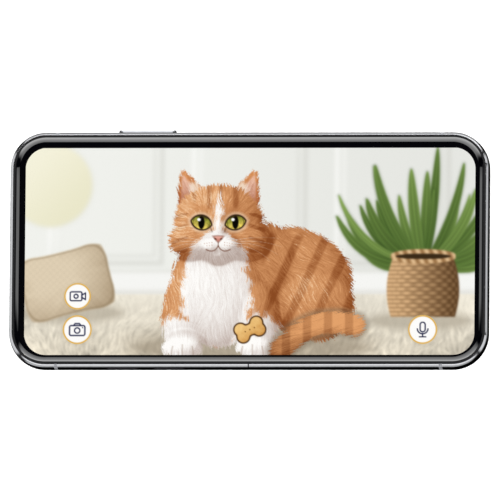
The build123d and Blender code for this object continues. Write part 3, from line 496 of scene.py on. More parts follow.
@dataclass
class Housing:
    """Outline and front edge of the housing, in millimetres, at the sizes that the solids have.

    A point of the outline is a corner centre and an angle: an inset moves it straight towards that centre.
    """

    length: float = 144.0
    width: float = 71.4
    corner: float = 11.0
    front: float = 8.1
    glass_back: float = 7.4
    glass_inset: float = 1.77
    glass_curve: float = 1.5
    glass_drop: float = 0.42
    ring_foot: float = 6.7
    ring_step: float = 0.1
    ring_top: float = 7.6
    ring_outer: float = 0.24
    ring_inner: float = 1.1
    ring_land: float = 0.08
    ring_crown: float = 0.03
    break_x: float = 57.7
    break_width: float = 1.0
    seam_x: float = 0.15
    seam_gap: float = 0.36
    lit: LitArea = LitArea()
    corner_steps: int = 48
    straight_steps: int = 24

    def bend(self, number: int) -> np.ndarray:
        """Points of one rounded corner.

        Args:
            number: 0 is the corner at +X +Y, and the others follow anticlockwise.

        Returns:
            Rows of centre x, centre y and angle.
        """
        angles = np.linspace(number, number + 1, self.corner_steps + 1) * math.pi / 2
        side_x = 1 if number in (0, 3) else -1
        side_y = 1 if number in (0, 1) else -1
        centre = [side_x * (self.length / 2 - self.corner), side_y * (self.width / 2 - self.corner)]
        return np.column_stack([np.tile(centre, (angles.size, 1)), angles])

    def loop(self) -> np.ndarray:
        """The whole outline, as rows of centre x, centre y and angle."""
        return np.concatenate([self.bend(number) for number in range(4)])

    def rail(self, start: float, end: float, side: int) -> np.ndarray:
        """A straight stretch of a long rail, run anticlockwise.

        Args:
            start: First x.
            end: Last x.
            side: 1 for the rail at +Y, -1 for the one at -Y.

        Returns:
            Rows of centre x, centre y and angle.
        """
        along = np.linspace(start, end, self.straight_steps)
        across = np.full_like(along, side * (self.width / 2 - self.corner))
        return np.column_stack([along, across, np.full_like(along, side * math.pi / 2)])

    def swept(self, path: np.ndarray, section: np.ndarray) -> np.ndarray:
        """Carry a section along the outline: centre + (corner radius - inset) * (cos, sin), at its height.

        Args:
            path: Rows of centre x, centre y and angle.
            section: Rows of inset and height.

        Returns:
            Points on a grid, path by section.
        """
        reach = self.corner - section[None, :, 0]
        x = path[:, None, 0] + reach * np.cos(path[:, None, 2])
        y = path[:, None, 1] + reach * np.sin(path[:, None, 2])
        z = np.broadcast_to(section[None, :, 1], x.shape)
        return np.stack([x, y, z], -1)

    def glass_section(self, steps: int = 40) -> np.ndarray:
        """Curved border of the cover glass: a circle tangent to the flat face, down to the upright edge.

        Args:
            steps: Points along the curve.

        Returns:
            Rows of inset and height, from the flat face outwards and down to the back.
        """
        radius = (self.glass_curve**2 + self.glass_drop**2) / (2 * self.glass_drop)
        turn = np.linspace(0, math.asin(self.glass_curve / radius), steps)
        inset = self.glass_inset + self.glass_curve - radius * np.sin(turn)
        height = self.front - radius * (1 - np.cos(turn))
        back = [[self.glass_inset, self.glass_back]]
        return np.concatenate([np.column_stack([inset, height]), back])

    def ring_section(self, steps: int = 10) -> np.ndarray:
        """Section of the polished ring: crowned slope, flat land and upright inner side.

        Args:
            steps: Points along each curve.

        Returns:
            Rows of inset and height, closed, from the inner foot outwards, over the crown and back in.
        """
        foot = np.array([self.ring_outer, self.ring_foot + self.ring_step])
        land = np.array([self.ring_inner - self.ring_land, self.ring_top])
        share = np.linspace(0, 1, steps)[:, None]
        slope = land - foot
        outwards = np.array([-slope[1], slope[0]]) / np.hypot(*slope)
        crowned = foot + share * slope + 4 * share * (1 - share) * self.ring_crown * outwards
        start = [[self.ring_inner, self.ring_foot], [self.ring_outer, self.ring_foot]]
        end = [[self.ring_inner, self.ring_top]]
        return np.concatenate([start, crowned, end])

    def cover_glass(self) -> bpy.types.Object:
        """Cover glass as one closed surface: clear over the lit area, backed with black ink round it.

        The flat border and the curve are swept round from the lit outline to the back; the lit window and the
        back are one face each.

        Returns:
            The piece, in place of the solid.
        """
        path, section = self.loop(), self.glass_section()
        window = self.lit.outline(path, self.front)[:, None, :]
        points = np.concatenate([window, self.swept(path, section)], 1)
        faces = capped_faces(*points.shape[:2])
        piece = new_object("cover_glass_polished", points.reshape(-1, 3), faces)
        dress(piece, clear_glass())
        piece.data.materials.append(INKED_GLASS.material())
        piece.data.polygons.foreach_set("material_index", [1] * (len(faces) - 2) + [0, 0])
        return self.seat(piece, "cover_glass")

    def ring_lengths(self) -> list[bpy.types.Object]:
        """The bright ring in its five lengths, each closed at its ends.

        Returns:
            The pieces, in place of the solids.
        """
        inner, outer = self.break_x - self.break_width / 2, self.break_x + self.break_width / 2
        half_gap = self.seam_gap / 2
        ends = {}
        for way, bends in ((-1, (1, 2)), (1, (3, 0))):
            corners = [self.bend(number) for number in bends]
            first, last = (self.rail(way * outer, way * outer, side)[:1] for side in (-way, way))
            ends[way] = np.concatenate([first, *corners, last])
        lengths = {
            "bezel_ring_left_end": ends[-1],
            "bezel_ring_right_end": ends[1],
            "bezel_ring_key_rail": self.rail(inner, -inner, 1),
            "bezel_ring_lower_rail_left": self.rail(-inner, self.seam_x - half_gap, -1),
            "bezel_ring_lower_rail_right": self.rail(self.seam_x + half_gap, inner, -1),
        }
        section = self.ring_section()
        return [self.ring_length(name, path, section) for name, path in lengths.items()]

    def ring_length(self, name: str, path: np.ndarray, section: np.ndarray) -> bpy.types.Object:
        """One length of the ring.

        Args:
            name: The piece's name.
            path: Its stretch of the outline.
            section: The ring's section.

        Returns:
            The piece.
        """
        points = self.swept(path, section)
        rows, columns = points.shape[:2]
        faces = grid_faces(rows, columns, False, True).tolist()
        faces.append(list(range(columns)))
        faces.append([(rows - 1) * columns + column for column in reversed(range(columns))])
        piece = new_object(name, points.reshape(-1, 3), faces)
        return self.seat(piece, "bezel_ring")

    def seat(self, piece: bpy.types.Object, node: str) -> bpy.types.Object:
        """Let a piece ride on the phone in place of a solid, which is hidden.

        Args:
            piece: The finished piece.
            node: The solid that it replaces.

        Returns:
            The piece.
        """
        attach(piece, PHONE)
        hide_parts(node)
        return piece

    def build(self) -> list[bpy.types.Object]:
        """Build and dress the glass and the ring.

        Returns:
            The new pieces.
        """
        lengths = self.ring_lengths()
        for length in lengths:
            dress(length, BRIGHT_STEEL.material())
        return [self.cover_glass(), *lengths]


@dataclass
class SideKey:
    """Side key as one closed surface: pill-shaped flange, stem and rounded outer face, in millimetres."""

    height: float = 2.4
    rounding: float = 0.45
    drop: float = 0.26
    flange_lip: float = 0.6
    flange: float = 0.5
    steps: int = 32

    def section(self, inner: float, outer: float) -> np.ndarray:
        """Half-height of the pill against y: flange, stem, then a quarter ellipse into the outer face.

        Args:
            inner: y of the flange's inner face.
            outer: y of the outer face.

        Returns:
            Rows of half-height and y, from the inner face outwards.
        """
        turn = np.linspace(0, math.pi / 2, self.steps)
        stem, wide = self.height / 2, self.height / 2 + self.flange_lip
        over = stem - self.drop * (1 - np.cos(turn))
        out = outer - self.rounding * (1 - np.sin(turn))
        foot = [[wide, inner], [wide, inner + self.flange], [stem, inner + self.flange]]
        return np.concatenate([foot, np.column_stack([over, out])])

    def build(self) -> list[bpy.types.Object]:
        """Carry the section round the pill: middle line + half-height * (cos, sin), at its y.

        Returns:
            The key, in place of its solid.
        """
        low, high = (np.array(corner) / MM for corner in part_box("side_key"))
        middle = (low + high) / 2
        section = self.section(low[1], high[1])
        reach = high[0] - middle[0] - section[0, 0]
        line, arc = np.linspace(reach, -reach, self.steps)[1:-1], np.linspace(-0.5, 0.5, self.steps)
        along = np.concatenate([np.full(self.steps, reach), line, np.full(self.steps, -reach), -line])
        turn = math.pi * np.concatenate([arc, np.full_like(line, 0.5), arc + 1, np.full_like(line, 1.5)])
        x = middle[0] + along[:, None] + section[None, :, 0] * np.cos(turn)[:, None]
        z = middle[2] + section[None, :, 0] * np.sin(turn)[:, None]
        points = np.stack([x, np.broadcast_to(section[:, 1], x.shape), z], -1)
        piece = new_object("side_key_lapped", points.reshape(-1, 3), capped_faces(*x.shape))
        dress(piece, LAPPED_STEEL.material())
        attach(piece, "side_key")
        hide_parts("side_key")
        return [piece]


# Live view ------------------------------------------------------------------------------------------------


def ease(values: np.ndarray) -> np.ndarray:
    """Smooth step from 0 to 1."""
    share = np.clip(values, 0, 1)
    return share * share * (3 - 2 * share)


def blend(low: np.ndarray | str, high: np.ndarray | str, share: np.ndarray) -> np.ndarray:
    """Mix two colours at each cell.

    Args:
        low: Hex colour or channels at a share of 0.
        high: Hex colour or channels at a share of 1.
        share: Share from 0 to 1 at each cell.

    Returns:
        The mixed colour at each cell.
    """
    low, high = rgb(low), rgb(high)
    return low + (high - low) * share[..., None]


@dataclass
class Canvas:
    """Grid of sRGB colours over the lit area, painted from back to front; lengths in millimetres."""

    width: float
    height: float
    cell: float = 0.2
    seed: int = 7

    def __post_init__(self) -> None:
        """Lay out the grid, with its origin in the middle and y upwards."""
        columns, rows = round(self.width / self.cell) + 1, round(self.height / self.cell) + 1
        across = np.linspace(-self.width / 2, self.width / 2, columns)
        up = np.linspace(-self.height / 2, self.height / 2, rows)
        self.x, self.y = np.meshgrid(across, up)
        self.colour = np.zeros((rows, columns, 3))

    def paint(self, colour: np.ndarray | str, cover: np.ndarray) -> None:
        """Lay a colour over what is there, as thickly as the cover says at each cell."""
        self.colour += cover[..., None] * (rgb(colour) - self.colour)

    def blur(self, values: np.ndarray, size: float) -> np.ndarray:
        """Gaussian blur, as two passes of weighted shifts with the edge cells repeated.

        Args:
            values: Grid of values or of colours.
            size: Standard deviation in millimetres.

        Returns:
            The blurred grid.
        """
        sigma = size / self.cell
        reach = max(1, math.ceil(2.6 * sigma))
        weights = np.exp(-0.5 * (np.arange(-reach, reach + 1) / sigma) ** 2)
        weights /= weights.sum()
        for axis in (0, 1):
            margin = [(reach, reach) if axis == other else (0, 0) for other in range(values.ndim)]
            padded, count = np.pad(values, margin, mode="edge"), values.shape[axis]
            shifts = (np.take(padded, np.arange(start, start + count), axis) for start in range(weights.size))
            values = sum(weight * shifted for weight, shifted in zip(weights, shifts))
        return values

    def noise(self, size: float, seed: int) -> np.ndarray:
        """Soft noise with blobs of about one size.

        Args:
            size: Width of a blob in millimetres.
            seed: Picks the pattern.

        Returns:
            Values with mean 0 and standard deviation 1.
        """
        raw = np.random.default_rng(self.seed * 1000 + seed).standard_normal(self.x.shape)
        soft = self.blur(raw, size / 2) if size > self.cell else raw
        return (soft - soft.mean()) / soft.std()

    def nearest(self, row: np.ndarray, column: np.ndarray) -> tuple[np.ndarray, np.ndarray]:
        """Indices of the cells nearest to positions on the grid, kept inside it."""
        places = zip((row, column), self.x.shape)
        return tuple(np.clip(place.round().astype(int), 0, count - 1) for place, count in places)

    def streaks(self, angle: np.ndarray, reach: float, seed: int, size: float = 0.2) -> np.ndarray:
        """Fine noise drawn out along a field of directions, as hairs are: line integral convolution.

        Args:
            angle: Direction at each cell, in radians.
            reach: Length of a streak each way, in millimetres.
            seed: Picks the pattern.
            size: Width of a streak.

        Returns:
            Values with mean 0 and standard deviation 1.
        """
        grain = self.noise(size, seed)
        start_row, start_column = np.indices(grain.shape).astype(float)
        total = grain.copy()
        for way in (-1, 1):
            row, column = start_row.copy(), start_column.copy()
            for _ in range(round(reach / self.cell)):
                direction = angle[self.nearest(row, column)]
                row += way * np.sin(direction)
                column += way * np.cos(direction)
                total += grain[self.nearest(row, column)]
        return (total - total.mean()) / total.std()

    def turned(self, centre: Point, degrees: float) -> tuple[np.ndarray, np.ndarray]:
        """Coordinates about a centre, turned so that the shape's own axes lie along them.

        Args:
            centre: The shape's centre.
            degrees: Its turn, anticlockwise.

        Returns:
            x and y at each cell.
        """
        turn = math.radians(degrees)
        x, y = self.x - centre[0], self.y - centre[1]
        return x * math.cos(turn) + y * math.sin(turn), y * math.cos(turn) - x * math.sin(turn)

    def ellipse(self, centre: Point, radii: Point, degrees: float = 0.0) -> np.ndarray:
        """Distance outside an ellipse, about right near its edge and negative inside.

        Args:
            centre: The ellipse's centre.
            radii: Its half-widths.
            degrees: Its turn, anticlockwise.

        Returns:
            The distance at each cell.
        """
        x, y = self.turned(centre, degrees)
        reach = np.hypot(x / radii[0], y / radii[1])
        slope = np.hypot(x / radii[0] ** 2, y / radii[1] ** 2) / np.maximum(reach, 1e-6)
        return (reach - 1) / np.maximum(slope, 1e-6)

    def box(self, centre: Point, half: Point, corner: float = 0.0, degrees: float = 0.0) -> np.ndarray:
        """Distance outside a box with rounded corners, negative inside.

        Args:
            centre: The box's centre.
            half: Its half-widths.
            corner: Radius of its corners.
            degrees: Its turn, anticlockwise.

        Returns:
            The distance at each cell.
        """
        x, y = self.turned(centre, degrees)
        over_x, over_y = abs(x) - half[0] + corner, abs(y) - half[1] + corner
        outside = np.hypot(np.maximum(over_x, 0), np.maximum(over_y, 0))
        return outside + np.minimum(np.maximum(over_x, over_y), 0) - corner

    def line(self, points: list[Point]) -> np.ndarray:
        """Distance to a chain of straight lines.

        Args:
            points: Its points, in order.

        Returns:
            The distance at each cell.
        """
        nearest = np.full(self.x.shape, np.inf)
        for (x0, y0), (x1, y1) in zip(points, points[1:]):
            along_x, along_y = x1 - x0, y1 - y0
            share = (self.x - x0) * along_x + (self.y - y0) * along_y
            share = np.clip(share / (along_x**2 + along_y**2), 0, 1)
            off_x, off_y = self.x - x0 - share * along_x, self.y - y0 - share * along_y
            nearest = np.minimum(nearest, np.hypot(off_x, off_y))
        return nearest


def inside(distance: np.ndarray, soft: float = 0.2) -> np.ndarray:
    """Cover of a shape: 1 inside, 0 outside, easing over a soft edge in millimetres."""
    return ease(0.5 - distance / soft)


def bowed(start: Point, end: Point, bow: float, steps: int = 12) -> list[Point]:
    """Points on an arc between two ends.

    Args:
        start: First point.
        end: Last point.
        bow: How far the middle bows to the left, as a share of the length.
        steps: Number of points.

    Returns:
        The points.
    """
    share = np.linspace(0, 1, steps)
    across = (start[1] - end[1], end[0] - start[0])
    lift = 4 * share * (1 - share) * bow
    x = start[0] + share * (end[0] - start[0]) + lift * across[0]
    y = start[1] + share * (end[1] - start[1]) + lift * across[1]
    return list(zip(x.tolist(), y.tolist()))


@dataclass
class Room:
    """The pale room behind the pet: panelled wall, round mirror, rug, cushion and a potted plant."""

    canvas: Canvas
    floor_line: float = -12.5
    skirting: float = 6.5
    panels: tuple[Point, ...] = ((-43.0, 17.0), (0.0, 17.0), (43.0, 17.0))
    panel_half: Point = (17.0, 21.0)
    # Inset and width of a panel's two mouldings.
    mouldings: tuple[Point, ...] = ((0.0, 1.3), (2.2, 0.6))
    mirror_centre: Point = (-60.0, 20.0)
    mirror_radius: float = 12.5
    cushion_centre: Point = (-55.0, -9.5)
    cushion_half: Point = (13.5, 9.5)
    cushion_turn: float = 14.0
    pot: Point = (52.0, -9.5)
    leaf_count: int = 26
    leaf_seed: int = 31

    def wall(self) -> None:
        """Off-white wall with framed panels and a skirting board, lit from the left."""
        canvas = self.canvas
        light = 0.5 + canvas.x / canvas.width
        canvas.colour[:] = blend("#f1f2ed", "#e6e7e2", ease(light) + 0 * canvas.y)
        half_x, half_y = self.panel_half
        for centre in self.panels:
            lit = np.clip((canvas.x - centre[0]) / half_x - (canvas.y - centre[1]) / half_y, -1, 1)
            for inset, width in self.mouldings:
                frame_edge = canvas.box(centre, (half_x - inset, half_y - inset))
                canvas.paint("#fbfbf8", inside(abs(frame_edge) - width / 2, 0.7) * 0.8 * (lit < 0))
                shadow = inside(abs(frame_edge + 0.5) - width / 2, 0.8)
                canvas.paint("#cfcfc8", shadow * 0.55 * ease(0.5 + lit))
        canvas.paint("#f6f6f3", ease((self.floor_line + self.skirting - canvas.y) / 0.5))
        groove = abs(canvas.y - self.floor_line - self.skirting) - 0.2
        canvas.paint("#d3d2ca", inside(groove, 0.9) * 0.7)
        canvas.paint("#c9c6bb", inside(abs(canvas.y - self.floor_line) - 0.5, 2.0) * 0.6)

    def mirror(self) -> None:
        """Pale yellow disc hung high on the left."""
        canvas, (x0, y0) = self.canvas, self.mirror_centre
        disc = canvas.ellipse(self.mirror_centre, (self.mirror_radius, self.mirror_radius))
        canvas.paint("#c9c7ba", inside(disc + 0.2, 3.5) * 0.45)
        shade = ease(0.5 + (canvas.x - x0 - canvas.y + y0) / (4 * self.mirror_radius))
        canvas.paint(blend("#f7f4df", "#e9e6c8", shade), inside(disc, 0.7))

    def rug(self) -> None:
        """Beige looped rug: short upright streaks over broad soft patches, darker towards the pet."""
        canvas = self.canvas
        on_floor = ease((self.floor_line - canvas.y) / 0.8)
        pile = canvas.streaks(1.3 + 0.5 * canvas.noise(5.0, 3), 0.9, 4, 0.35)
        patches = canvas.noise(7.0, 5)
        depth = np.clip((self.floor_line - canvas.y) / 19, 0, 1)
        tone = blend("#e9e3d4", "#d9d0bd", depth)
        tone = tone * (1 + (0.012 + 0.045 * depth) * pile + 0.018 * patches)[..., None]
        canvas.paint(tone, on_floor)

    def cushion(self) -> None:
        """Tan cushion that leans against the wall on the left, with piped edge and folds."""
        canvas, (x0, y0) = self.canvas, self.cushion_centre
        x, y = canvas.turned(self.cushion_centre, self.cushion_turn)
        pinch = 1.6 * np.clip(abs(x) / 13, 0, 1) ** 3 * np.clip(abs(y) / 9, 0, 1) ** 3
        shape = canvas.box(self.cushion_centre, self.cushion_half, 6.0, self.cushion_turn) - pinch
        canvas.paint("#b3aa98", inside(canvas.ellipse((x0 + 1, y0 - 9), (16, 3.2)), 4.0) * 0.7)
        swell = np.sqrt(np.clip(1 - (x / 15) ** 2, 0, 1)) * np.sqrt(np.clip(1 - (y / 11) ** 2, 0, 1))
        folds = canvas.streaks(np.arctan2(y, x), 3.0, 8, 1.2)
        light = np.clip(0.25 + 0.75 * swell - 0.25 * (x / 15) + 0.25 * (y / 10) + 0.03 * folds, 0, 1)
        weave = 0.02 * np.sin(canvas.x / 0.32) * np.sin(canvas.y / 0.32)
        tone = blend("#a48f72", "#ddcdb2", light) * (1 + weave)[..., None]
        canvas.paint(tone, inside(shape, 0.5))
        canvas.paint("#8e7a5e", inside(abs(shape + 0.5) - 0.15, 0.4) * 0.6)

    def plant(self) -> None:
        """Woven basket with long arching leaves, on the right."""
        canvas, (x0, y0) = self.canvas, self.pot
        canvas.paint("#b7ae9c", inside(canvas.ellipse((x0 - 1, y0 - 11.5), (15, 3.0)), 4.0) * 0.8)
        generator = np.random.default_rng(self.leaf_seed)
        leans = np.linspace(-1.25, 1.2, self.leaf_count)
        leaves = []
        for number in range(self.leaf_count):
            lean = leans[(number * 11) % self.leaf_count] + generator.normal(0, 0.06)
            length = generator.uniform(24, 40) * (1 - 0.15 * abs(lean))
            top = (x0 + length * math.sin(lean), y0 + 7 + length * math.cos(lean) * 0.86)
            leaves.append((top, 0.16 * -lean, generator.uniform(1.1, 2.1), generator.uniform(0, 1)))
        for top, bow, width, tone in leaves:
            points = bowed((x0 + (top[0] - x0) * 0.12, y0 + 6), top, bow)
            share = self.share_along(points)
            blade = canvas.line(points)
            taper = width * np.sqrt(np.clip(4 * share * (1 - share) + 0.05, 0, 1)) * (1 - 0.35 * share)
            colour = blend("#3c5a22", "#8fb05a", np.clip(0.15 + 0.6 * tone + 0.35 * share, 0, 1))
            vein = inside(blade - 0.12, 0.35)
            edge = ease((blade / np.maximum(taper, 0.1) - 0.3) / 0.7)
            colour = colour * (0.8 + 0.25 * vein + 0.12 * edge)[..., None]
            canvas.paint("#28401a", inside(blade - taper - 0.3, 1.6) * 0.25)
            canvas.paint(np.clip(colour, 0, 1), inside(blade - taper, 0.45))
        self.basket(x0, y0)

    def share_along(self, points: list[Point]) -> np.ndarray:
        """How far each cell lies along the straight line between the ends of a chain.

        Args:
            points: The chain's points.

        Returns:
            Share from 0 to 1 at each cell.
        """
        (x0, y0), (x1, y1) = points[0], points[-1]
        share = (self.canvas.x - x0) * (x1 - x0) + (self.canvas.y - y0) * (y1 - y0)
        return np.clip(share / ((x1 - x0) ** 2 + (y1 - y0) ** 2), 0, 1)

    def basket(self, x0: float, y0: float) -> None:
        """Round basket, widest below its middle, in a chequer weave of pale and dark cane.

        Args:
            x0: x of its middle.
            y0: y of its middle.
        """
        canvas = self.canvas
        up = (canvas.y - y0) / 10
        half = 10.8 - 1.9 * up**2 - 0.8 * up
        side = (canvas.x - x0) / half
        body = np.maximum((abs(side) - 1) * half, abs(canvas.y - y0 + 1) - 9.3)
        turn = np.arcsin(np.clip(side, -1, 1))
        strand = np.sin(turn * 17) * np.sign(np.sin((canvas.y - y0) * math.pi / 1.25))
        row = abs(np.sin((canvas.y - y0) * math.pi / 1.25))
        light = np.clip(0.62 - 0.55 * side + 0.16 * strand, 0, 1) * (0.62 + 0.38 * row)
        canvas.paint(blend("#5d4126", "#dcb384", light), inside(body, 0.5))
        rim = canvas.ellipse((x0, y0 + 8.0), (9.2, 1.7))
        canvas.paint("#3a2a18", inside(rim, 0.5))
        braid = 0.5 + 0.5 * np.sin(canvas.x * 2.4 + canvas.y)
        canvas.paint(blend("#9a7248", "#e3bf92", braid), inside(abs(rim + 0.2) - 0.7, 0.4))

    def paint(self) -> None:
        """Paint the room, out of focus, with the plant a little sharper than the wall."""
        self.wall()
        self.mirror()
        self.canvas.colour = self.canvas.blur(self.canvas.colour, 0.55)
        self.rug()
        self.cushion()
        self.plant()
        self.canvas.colour = self.canvas.blur(self.canvas.colour, 0.22)


@dataclass(frozen=True)
class Lump:
    """One rounded mass of the pet: an ellipsoid that stands out towards the viewer.

    Args:
        centre: Middle, in millimetres on the display.
        radii: Half-widths along its own axes.
        degrees: Turn of those axes.
        front: How far its middle plane stands forward.
        rise: How far its face swells forward of that.
        hair: Direction in which its hair lies, in degrees, or None for hair that fans out from the nose.
    """

    centre: Point
    radii: Point
    degrees: float = 0.0
    front: float = 0.0
    rise: float = 6.0
    hair: float | None = -90.0


@dataclass
class Cat:
    """Ginger-and-white cat that lies facing the viewer; x and y give the point between its eyes."""

    canvas: Canvas
    x: float = -9.5
    y: float = 8.6
    eye_place: Point = (5.1, 0.2)
    tail_radius: float = 3.3
    # Parts of the light's direction that point left, up and towards the viewer.
    daylight: tuple[float, float, float] = (0.38, 0.5, 0.78)
    # Fall, reach and bow of each whisker on one side.
    whiskers: tuple[tuple[float, float, float], ...] = (
        (0.10, 15.5, 0.05), (-0.06, 16.5, 0.07), (-0.22, 15.5, 0.10), (-0.40, 13.0, 0.12),
    )

    def at(self, dx: float, dy: float) -> Point:
        """A point given from the point between the eyes."""
        return self.x + dx, self.y + dy

    def lumps(self) -> list[Lump]:
        """The masses of the body.

        Returns:
            The masses, from back to front.
        """
        at = self.at
        return [
            Lump(at(22, -17), (19, 16), -14, -12, 10, -30.0),
            Lump(at(10, -13), (16, 14), 0, -8, 9, -50.0),
            Lump(at(30, -25), (11.5, 11), 0, -5, 8, -60.0),
            Lump(at(0, -20), (14.5, 18), 0, -3, 9, -90.0),
            Lump(at(-9.5, -27), (7.5, 14), -6, -2, 7, -95.0),
            Lump(at(11, -28), (7.5, 13), 8, -2, 7, -85.0),
            Lump(at(0, 0.5), (13.6, 11.6), 0, 6, 10, None),
            Lump(at(-7.8, -4.2), (7.4, 6.2), 20, 8, 7, None),
            Lump(at(7.8, -4.2), (7.4, 6.2), -20, 8, 7, None),
            Lump(at(0, 3.6), (8.5, 7.5), 0, 9, 8, None),
            Lump(at(0, -1.6), (2.6, 5.6), 0, 15.5, 4, None),
            Lump(at(-2.5, -6.6), (3.5, 2.9), 12, 17, 4, None),
            Lump(at(2.5, -6.6), (3.5, 2.9), -12, 17, 4, None),
            Lump(at(0, -9.4), (3.0, 2.3), 0, 14, 4, None),
            Lump(at(-10.5, -37.5), (6.4, 4.3), 4, 10, 6, -90.0),
            Lump(at(11.5, -37.5), (6.4, 4.3), -4, 10, 6, -90.0),
        ]

    def relief(self) -> tuple[np.ndarray, np.ndarray, np.ndarray]:
        """Height, hair direction and outline of the body.

        Returns:
            The front height at each cell, the angle of the hair, and the distance outside the body.
        """
        canvas = self.canvas
        height = np.full(canvas.x.shape, -30.0)
        angle_x, angle_y = np.zeros_like(height), np.zeros_like(height)
        outline = np.full(canvas.x.shape, np.inf)
        fan = np.arctan2(canvas.y - self.y + 5.0, canvas.x - self.x)
        for lump in self.lumps():
            x, y = canvas.turned(lump.centre, lump.degrees)
            fill = 1 - (x / lump.radii[0]) ** 2 - (y / lump.radii[1]) ** 2
            face = lump.front + lump.rise * np.sqrt(np.clip(fill, 0, 1))
            ahead = (fill > 0) & (face > height)
            hair = fan if lump.hair is None else np.full_like(fan, math.radians(lump.hair))
            angle_x, angle_y = np.where(ahead, np.cos(hair), angle_x), np.where(ahead, np.sin(hair), angle_y)
            height = np.where(ahead, face, height)
            outline = np.minimum(outline, canvas.ellipse(lump.centre, lump.radii, lump.degrees))
        angle = np.arctan2(canvas.blur(angle_y, 1.2), canvas.blur(angle_x, 1.2))
        return height, angle + 0.25 * canvas.noise(2.5, 11), outline

    def shade(self, height: np.ndarray, body: np.ndarray) -> np.ndarray:
        """Soft daylight from the upper left on the relief, darker in its hollows.

        Args:
            height: Front height at each cell.
            body: 1 on the body.

        Returns:
            Light from 0 to 1.
        """
        canvas = self.canvas
        weight = canvas.blur(body, 0.7) + 1e-4
        soft = canvas.blur(np.where(body > 0, height, 0.0), 0.7) / weight
        upwards, across = np.gradient(soft, canvas.cell)
        normal_z = 1 / np.sqrt(1 + across**2 + upwards**2)
        left, top, front = self.daylight
        lambert = np.clip((across * left - upwards * top + front) * normal_z, 0, 1)
        wide = canvas.blur(np.where(body > 0, height, -6.0), 3.0)
        hollow = ease(0.62 + (soft - wide) / 16)
        return np.clip(0.22 + 0.62 * lambert, 0, 1) * (0.55 + 0.45 * hollow) + 0.05 * normal_z

    def ears(self) -> None:
        """Two upright ears with pink insides and tufts of pale hair."""
        canvas = self.canvas
        for side in (-1, 1):
            root_in, root_out = self.at(side * 3.0, 8.6), self.at(side * 12.6, 4.0)
            tip = self.at(side * 11.6, 17.6)
            shape = self.wedge(root_in, root_out, tip, 1.3)
            grain = canvas.streaks(np.full(canvas.x.shape, math.radians(90 - side * 25)), 1.2, 21 + side)
            light = ease(0.5 + (canvas.y - self.y - 11) / 14 + 0.12 * grain)
            canvas.paint(blend("#a85f36", "#e09a62", light), inside(shape + 0.25 * grain, 0.5))
            cup = [self.at(side * dx, dy) for dx, dy in ((5.6, 8.0), (11.4, 5.6), (11.0, 15.4))]
            cup = self.wedge(*cup, 0.6)
            flesh = blend("#b87a63", "#efc4ae", ease(0.4 + (canvas.y - self.y - 9) / 9 + 0.1 * grain))
            canvas.paint(flesh, inside(cup + 0.15 * grain, 0.7) * 0.9)
            lie = np.arctan2(canvas.y - self.y - 2, canvas.x - self.x - side * 4)
            tuft = canvas.streaks(lie, 1.8, 25 + side)
            lock = canvas.ellipse(self.at(side * 6.4, 8.6), (2.0, 4.0), -side * 24)
            canvas.paint("#f7e9d8", inside(lock + 0.35 * tuft, 1.6) * 0.8)

    def wedge(self, first: Point, second: Point, tip: Point, corner: float) -> np.ndarray:
        """Distance outside a triangle with rounded corners.

        Args:
            first: One end of its base.
            second: The other end.
            tip: Its point.
            corner: Radius of the rounding.

        Returns:
            The distance in millimetres, negative inside.
        """
        canvas = self.canvas
        middle = np.mean([first, second, tip], axis=0)
        reach = np.full(canvas.x.shape, -np.inf)
        for (x0, y0), (x1, y1) in zip((first, second, tip), (second, tip, first)):
            across = np.array([y1 - y0, x0 - x1]) / math.hypot(x1 - x0, y1 - y0)
            if across @ (middle - [x0, y0]) > 0:
                across = -across
            edge = across[0] * (canvas.x - x0) + across[1] * (canvas.y - y0)
            bulge = 0.06 * ((canvas.x - (x0 + x1) / 2) ** 2 + (canvas.y - (y0 + y1) / 2) ** 2) / 4
            reach = np.maximum(reach, edge + bulge)
        return canvas.blur(reach, corner / 2)

    def coat(self, hair: np.ndarray) -> tuple[np.ndarray, np.ndarray]:
        """Where the coat is ginger rather than white, and where its tabby stripes lie.

        Args:
            hair: Hair streaks, which ruffle the borders.

        Returns:
            Share of ginger and share of stripe, from 0 to 1.
        """
        canvas, (x, y) = self.canvas, (self.canvas.x - self.x, self.canvas.y - self.y)
        ruffle = 0.55 * hair + 0.5 * canvas.noise(1.6, 41)
        blaze = abs(x) - np.interp(y, [-13, -9, -6, -2, 3, 8, 11], [9, 8.2, 6.4, 2.0, 1.0, 0.5, -1.5])
        bib = canvas.ellipse(self.at(-0.5, -22), (10.5, 16.5))
        legs = [canvas.box(self.at(dx, -38), (7.5, 9.5), 4) for dx in (-10, 11)]
        white = np.minimum.reduce([np.where(y > -13, blaze, 99), bib, *legs])
        ginger = ease(0.5 + (white + ruffle) / 1.8)
        brow = np.sin(x * 1.35 + np.sign(x) * 0.9) * inside(canvas.ellipse(self.at(0, 8.5), (8.5, 4.5)), 3.0)
        jowl = inside(abs(abs(x) - 11.5) - 2.5, 2.0)
        cheek = np.sin((y + 2 + 0.35 * abs(x)) * 1.7) * jowl * (y < 3) * (y > -9)
        flank = np.sin((x - 0.45 * y) * 0.78) * ease((x - 11) / 5) * ease(-y / 6)
        stripes = ease((np.maximum(np.maximum(brow, cheek), flank) - 0.15 + 0.12 * ruffle) / 0.7)
        return ginger, stripes

